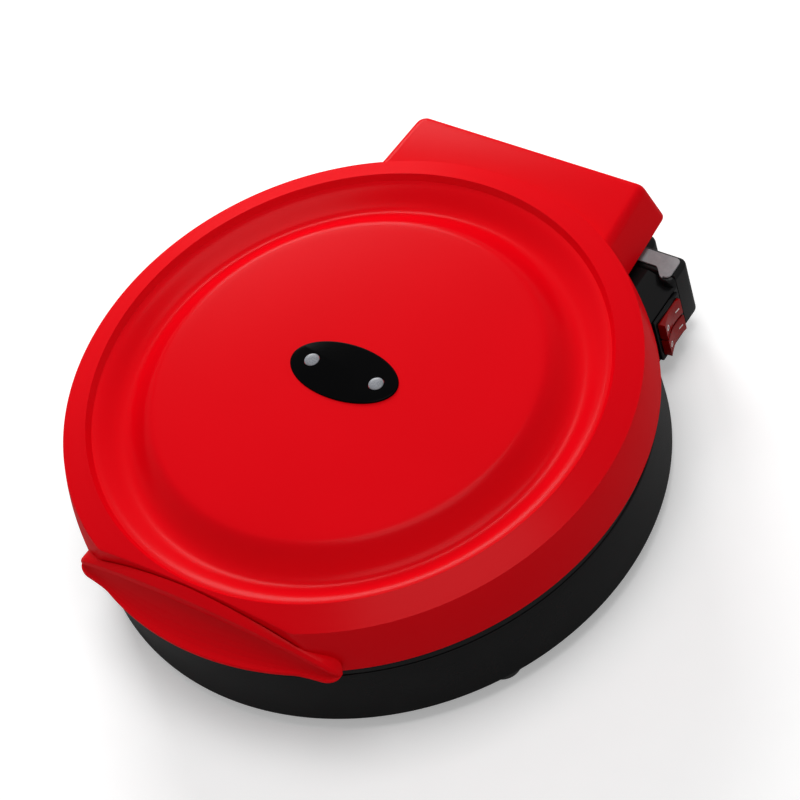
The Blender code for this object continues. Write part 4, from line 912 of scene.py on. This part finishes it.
@dataclass
class HingeHousing:
    """The black housing behind the base, its slots for the hinge legs, and the cord gland."""

    half: float = 75.0
    front: float = 120.0
    rear: float = 182.0
    low: float = 10.0
    high: float = 39.0

    def build(self, bench: Bench) -> None:
        """Makes the housing and the gland."""
        corners = box_corners((-self.half, self.front), (self.half, self.rear))
        block = Prism(corners, np.array([0.5, 0.5, 6.0, 6.0]), self.low, self.high, 2.5, 3.0, rim_steps=5)
        cutters = [base_clearance()]
        for x in LEG_PLACES:
            slot = Prism(box_corners((x - 6.4, 169.6), (x + 6.4, 176.4)), 0.6, 13.7, 45.0)
            cutters.append(slot.surface())
        lay = Matrix.Translation((12, 176, 25)) @ Matrix.Rotation(-math.pi / 2, 4, "X")
        cutters.append(laid_on(rod(6.8, 0, 12, 48), lay))
        bench.piece(
            "rear_housing", [block.surface()], "black_plastic", Body.BASE, ("hinge_housing",),
            cutters=cutters, sharp=35.0,
        )
        gland = rounded_profile([
            (3.6, 0.3, 0.0), (6.5, 0.3, 0.0), (6.5, 6.3, 0.0), (9.0, 6.3, 0.5), (9.0, 7.9, 0.5),
            (6.5, 8.6, 0.6), (3.6, 8.6, 0.6),
        ], 3)
        bench.piece("gland", [laid_on(turned(gland, 48), lay)], "foot_rubber", Body.BASE, ("cord_gland",))


@dataclass
class SwitchBox:
    """The switch box at the right of the housing, with its end cap, pad and twin rocker switch; the pad's
    grey is painted reflection.
    """

    inner: float = 75.6
    outer: float = 106.0
    front: float = 108.0
    seam: float = 149.6
    rear: float = 164.5
    low: float = 12.0
    high: float = 52.2
    slope_start: float = 89.5
    slope_drop: float = 6.0
    bend_start: Pair = (91.8, 153.0)
    bend_run: Pair = (7.8, 6.1)
    tower_round: float = 5.0
    tower_front: float = 145.6
    tower_rear: float = 158.0
    frame_low: Pair = (121.75, 14.1)
    frame_high: Pair = (147.25, 45.1)

    def body(self) -> Surface:
        """The box's body: its sloped outline across, carried along from front to seam."""
        corners = np.array([
            (self.inner, self.low), (self.outer, self.low), (self.outer, self.high - self.slope_drop),
            (self.slope_start, self.high), (self.inner, self.high),
        ])
        radii = np.array([0.5, 3.0, 2.2, 0.5, 0.5])
        return Prism(corners, radii, self.front, self.seam, 0.5, 0.35, Lay.BACK, rim_steps=3).surface()

    def bend(self, out: float) -> np.ndarray:
        """The pad's S-shaped front edge, half a cosine wave, moved forwards by a distance."""
        share = np.linspace(0, 1, 13)
        wave = (1 - np.cos(math.pi * share)) / 2
        across = self.bend_start[0] + self.bend_run[0] * share
        return np.stack([across, self.bend_start[1] - out - self.bend_run[1] * wave], axis=1)

    def tower(self) -> Surface:
        """The raised front end under the pad: an S-shaped edge, a round corner and a soft rim on top."""
        inside, behind = self.outer - self.tower_round, self.tower_front + self.tower_round
        corner = arc_points(
            np.array([(inside, self.tower_front)]), np.array([(self.outer, behind)]),
            np.array([(inside, behind)]), 8,
        )[0]
        outline = np.concatenate([
            [(self.bend_start[0], self.tower_rear)], self.bend(1.3), corner, [(self.outer, self.tower_rear)],
        ])
        rings = []
        rim = ((40.2, 0.0), (50.2, 0.0), (50.97, 0.15), (51.61, 0.59), (52.05, 1.23), (52.2, 2.0))
        for height, pull in rim:
            flat = outline.copy()
            flat[:, 1] += pull * (flat[:, 1] < 152.0)
            flat[:, 0] -= pull * (flat[:, 0] > 103.0)
            rings.append(raised(flat, height))
        return stack(np.stack(rings))

    def cap(self) -> Surface:
        """The rear end cap with its rounded outer corners."""
        corners = box_corners((self.inner, self.seam + 0.3), (self.outer, self.rear))
        radii = np.array([0.4, 0.4, 5.0, 0.8])
        return Prism(corners, radii, self.low, self.high, 2.6, 2.6, rim_steps=6, corner_steps=8).surface()

    def pad(self) -> Surface:
        """The pad, its grey a painted reflection: straight at the inside, drawn forwards in an S at the
        outside, with round corners.
        """
        first = rounded_outline(np.array([(91.8, 150), (103.4, 146.9), (103.4, 161.9), (78.2, 161.9)]),
                                np.array([0.1, 3.0, 3.0, 1.0]), 6)
        outline = np.concatenate([[(78.2, 153.0)], self.bend(0.0), first[7:]])
        rings = [raised(outline, height) for height in (52.5, 53.0, 53.3)]
        middle = outline.mean(axis=0)
        rings[2][:, :2] = middle + (rings[2][:, :2] - middle) * 0.985
        return stack(np.stack(rings))

    def bezel(self) -> Surface:
        """The switch's frame: a plate on the box's side with round corners and a soft front rim."""
        corners = box_corners(self.frame_low, self.frame_high)
        return Prism(corners, 1.6, 106.3, 108.1, 0.2, 0.7, Lay.OUT).surface()

    def build(self, bench: Bench) -> None:
        """Makes the box, the cap, the pad and the switch's frame."""
        bench.piece(
            "switch_case", [self.body()], "black_plastic", Body.BASE, ("switch_box",),
            cutters=[base_clearance()], sharp=30.0,
        )
        behind = Prism(box_corners((85.0, self.seam), (115.0, 175.0)), 0.1, 35.0, 60.0)
        bench.piece(
            "switch_tower", [self.tower()], "black_plastic", Body.BASE, ("switch_box",),
            cutters=[behind.surface()],
        )
        bench.piece(
            "switch_end", [self.cap()], "black_plastic", Body.BASE, ("switch_box_end_cap",),
            cutters=[base_clearance()], sharp=30.0,
        )
        # The pad's grey finish is a painted reflection of the light above on the box's glossy black top.
        bench.piece("pad_top_painted_reflection", [self.pad()], "grey_pad", Body.BASE, ("switch_box_pad",), sharp=35.0)
        pockets = [
            Prism(box_corners((123.7, centre - 6.3), (145.3, centre + 6.3)), 0.8, 101.1, 112.0,
                  lay=Lay.OUT).surface()
            for centre in ROCKER_HEIGHTS
        ]
        bench.piece(
            "switch_frame", [self.bezel()], "black_plastic", Body.BASE, ("switch_bezel",), cutters=pockets,
            sharp=35.0,
        )


@dataclass
class Rockers:
    """The two red rockers, one above the other, each leaning on its own pivot."""

    pivot: Pair = (106.6, 134.5)
    half: float = 10.0
    tilt: float = 7.0
    low_face: float = 2.7
    waist: float = 1.8
    power: float = 1.6

    def surface(self, centre: float) -> Surface:
        """A rocker: a side outline, waisted in the middle, carried up its width and then tilted."""
        along = np.linspace(-1, 1, 25)
        face = self.low_face + self.waist * np.abs(along) ** self.power
        top = np.stack([face, along * self.half], axis=1)
        back = np.array([(0.0, 10.0), (-4.5, 3.33), (-4.5, -3.33), (0.0, -10.0)])
        outline = np.concatenate([top, back])
        lean = math.radians(self.tilt)
        turn = np.array([(math.cos(lean), math.sin(lean)), (-math.sin(lean), math.cos(lean))])
        rings = []
        for height, pull in ((-6.0, 0.5), (-5.85, 0.15), (-5.5, 0.0), (5.5, 0.0), (5.85, 0.15), (6.0, 0.5)):
            level = outline.copy()
            level[:, 0] -= pull * (level[:, 0] > 0.5)
            level[:, 1] *= 1 - pull / self.half
            rings.append(raised(level @ turn + self.pivot, centre + height))
        return stack(np.stack(rings))

    def marks(self, centre: float) -> list[Surface]:
        """A bar at one end and a ring at the other, raised a little from the face and tilted with it.

        Each is laid on the face's height at its place, turned by the face's slope there.
        """
        made = []
        lean = math.radians(self.tilt)
        outline = rounded_profile([(1.0, -0.3, 0), (1.7, -0.3, 0), (1.7, 0.14, 0.1), (1.0, 0.14, 0.1)], 2)
        bar = Prism(box_corners((-0.35, -1.7), (0.35, 1.7)), 0.1, -0.3, 0.14, 0.05, 0.05)
        for along, flat in ((-0.62, turned(outline, 28)), (0.62, bar.surface())):
            steepness = self.power * self.waist * abs(along) ** (self.power - 1) / self.half
            slope = math.atan(steepness) * (1 if along < 0 else -1)
            face = self.low_face + self.waist * abs(along) ** self.power
            lay = Matrix.Translation((*self.pivot, centre)) @ Matrix.Rotation(lean, 4, "Z")
            lay = lay @ Matrix.Translation((face, along * self.half, 0)) @ Matrix.Rotation(slope, 4, "Z")
            made.append(laid_on(flat, lay @ Matrix.Rotation(math.pi / 2, 4, "Y")))
        return made

    def build(self, bench: Bench) -> None:
        """Makes both rockers."""
        keys = (("upper", Body.UPPER_ROCKER), ("lower", Body.LOWER_ROCKER))
        for centre, (name, body) in zip(ROCKER_HEIGHTS, keys):
            bench.piece(
                f"rocker_{name}_key", [self.surface(centre)], "rocker_red", body, (f"rocker_{name}",),
                sharp=30.0,
            )
            bench.piece(f"rocker_{name}_marks", self.marks(centre), "rocker_mark", body, sharp=30.0)


@dataclass
class Hinge:
    """The hinge pin with its clips; the legs and brackets keep their solids."""

    reach: float = 173.0
    height: float = 62.0
    radius: float = 3.0
    half: float = 61.0

    def build(self, bench: Bench) -> None:
        """Makes the pin and the clips."""
        lay = Matrix.Translation((0, self.reach, self.height)) @ Matrix.Rotation(math.pi / 2, 4, "Y")
        half, radius = self.half, self.radius
        pin = rounded_profile([(0, -half, 0), (radius, -half, 0.6), (radius, half, 0.6), (0, half, 0)], 3)
        bench.piece("pin", [laid_on(turned(pin, 32), lay)], "zinc_steel", Body.CARRIAGE, ("hinge_pin",))
        for side, name in ((-1, "left"), (1, "right")):
            low, high = sorted((side * (half + 0.3), side * (half + 2.3)))
            clip = rounded_profile([(0, low, 0), (4.6, low, 0.5), (4.6, high, 0.5), (0, high, 0)], 3)
            bench.piece(
                f"clip_{name}", [laid_on(turned(clip, 32), lay)], "zinc_steel", Body.CARRIAGE,
                (f"pin_clip_{name}",),
            )


# Stage: floor, light and camera


@dataclass
class Studio:
    """A pale floor, soft lamps and the camera at the photograph's angle."""

    camera_place: Triple = (0.74002, -0.62229, 1.17345)
    right: Triple = (0.80655, 0.54057, -0.23927)
    up: Triple = (-0.30994, 0.73135, 0.60751)
    back: Triple = (0.5034, -0.41583, 0.75742)
    lens: float = 125.127
    shift: Pair = (0.05003, 0.01626)
    floor_glow: float = 0.30
    surround: float = 0.26

    def floor(self) -> None:
        """A large pale floor whose shade is white to the camera where nothing darkens it."""
        points = np.array([(-3, -3, 0), (3, -3, 0), (3, 3, 0), (-3, 3, 0)], float)
        data = bpy.data.meshes.new("floor")
        data.from_pydata(points, [], [(0, 1, 2, 3)])
        made = added("floor", data)
        finish = bpy.data.materials.new("floor_paper")
        finish.use_nodes = True
        tree = finish.node_tree
        link = tree.links.new
        shader = tree.nodes["Principled BSDF"]
        fill(shader, {
            "Roughness": 0.9, "Specular IOR Level": 0.1, "Emission Color": (1.0, 1.0, 1.0, 1.0),
        })
        noise = fill(tree.nodes.new("ShaderNodeTexNoise"), {"Scale": 60.0})
        coordinates = tree.nodes.new("ShaderNodeTexCoord")
        link(coordinates.outputs["Object"], noise.inputs["Vector"])
        mix = mixed(tree, (0.90, 0.90, 0.90), (0.93, 0.93, 0.93), noise.outputs["Fac"])
        link(mix.outputs["Result"], shader.inputs["Base Color"])
        path = tree.nodes.new("ShaderNodeLightPath")
        level = fill(tree.nodes.new("ShaderNodeMapRange"), {"To Max": self.floor_glow})
        link(path.outputs["Is Camera Ray"], level.inputs["Value"])
        link(level.outputs["Result"], shader.inputs["Emission Strength"])
        data.materials.append(finish)

    def world(self) -> None:
        """A soft grey surround that the camera, mirrors and glass see as white."""
        world = bpy.data.worlds.new("surround")
        bpy.context.scene.world = world
        world.use_nodes = True
        tree = world.node_tree
        link = tree.links.new
        shade = tree.nodes["Background"]
        path = tree.nodes.new("ShaderNodeLightPath")
        seen = path.outputs["Is Camera Ray"]
        for kind in ("Is Transmission Ray", "Is Glossy Ray"):
            most = tree.nodes.new("ShaderNodeMath")
            most.operation = "MAXIMUM"
            link(seen, most.inputs[0])
            link(path.outputs[kind], most.inputs[1])
            seen = most.outputs["Value"]
        strength = fill(tree.nodes.new("ShaderNodeMapRange"), {"To Min": self.surround, "To Max": 1.0})
        link(seen, strength.inputs["Value"])
        link(strength.outputs["Result"], shade.inputs["Strength"])
        fill(shade, {"Color": (1.0, 1.0, 1.0, 1.0)})

    def lamp(self, name: str, place: Triple, size: float, power: float) -> None:
        """A square soft lamp that points at the object's middle.

        Args:
            name: The lamp's name.
            place: Where it hangs, in metres.
            size: The length of its side, in metres.
            power: Its power in watts.
        """
        data = bpy.data.lights.new(name, "AREA")
        data.size = size
        data.energy = power
        made = added(name, data)
        made.location = place
        aim = Matrix.Translation((0, 0, 0.05)).translation - made.location
        made.rotation_mode = "QUATERNION"
        made.rotation_quaternion = aim.to_track_quat("-Z", "Y")

    def camera(self) -> None:
        """The camera, its three directions worked out from the object's outline in the photograph."""
        data = bpy.data.cameras.new("camera")
        data.lens = self.lens
        data.sensor_width = 36.0
        data.shift_x, data.shift_y = self.shift
        made = added("camera", data)
        turn = Matrix((self.right, self.up, self.back)).transposed().to_4x4()
        made.matrix_world = Matrix.Translation(self.camera_place) @ turn
        bpy.context.scene.camera = made

    def build(self) -> None:
        """Sets the stage."""
        self.floor()
        self.world()
        self.lamp("key", (-1.25, 1.15, 0.85), 0.8, 24.0)
        self.lamp("top", (0.1, 0.1, 1.9), 1.1, 15.0)
        self.camera()
        bpy.context.scene.view_settings.view_transform = "Standard"


def dress_solids(bench: Bench) -> None:
    """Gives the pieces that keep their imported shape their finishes."""
    sides, levels = ("left", "right"), ("lower", "upper")
    chosen = {
        "zinc_steel": [
            *(f"foot_screw_{number}" for number in range(1, 5)),
            *(f"pan_screw_{number}" for number in range(1, 4)),
            *(f"lid_screw_{number}" for number in range(1, 3)),
            *(f"hinge_leg_{side}" for side in sides),
            *(f"lid_bracket_{side}" for side in sides),
        ],
        "element_steel": [f"{level}_heating_element" for level in levels],
        "tinplate": [f"{level}_heat_shield" for level in levels],
        "ceramic": [f"{level}_{kind}" for kind in ("thermostat", "thermal_fuse") for level in levels],
        "white_nylon": ["terminal_block"],
        "lamp_orange": [f"indicator_lamp_{side}" for side in sides],
    }
    for finish, nodes in chosen.items():
        for node in nodes:
            bench.dress(node, finish)


def clear_startup() -> None:
    """Removes the startup scene's own camera, light and cube."""
    for name in ("Cube", "Light", "Camera"):
        old = bpy.data.objects.get(name)
        if old is not None and "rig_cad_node" not in old:
            bpy.data.objects.remove(old, do_unlink=True)


def main() -> None:
    """Builds the stage and every part."""
    logging.basicConfig(level=logging.INFO, format="%(name)s %(message)s")
    clear_startup()
    bench = Bench()
    parts = (
        LidShell(), LidHandle(), BadgePlate(), Pans(), Base(), HingeHousing(), SwitchBox(), Rockers(),
        Hinge(),
    )
    for part in parts:
        part.build(bench)
    dress_solids(bench)
    Studio().build()


if __name__ == "__main__":
    main()
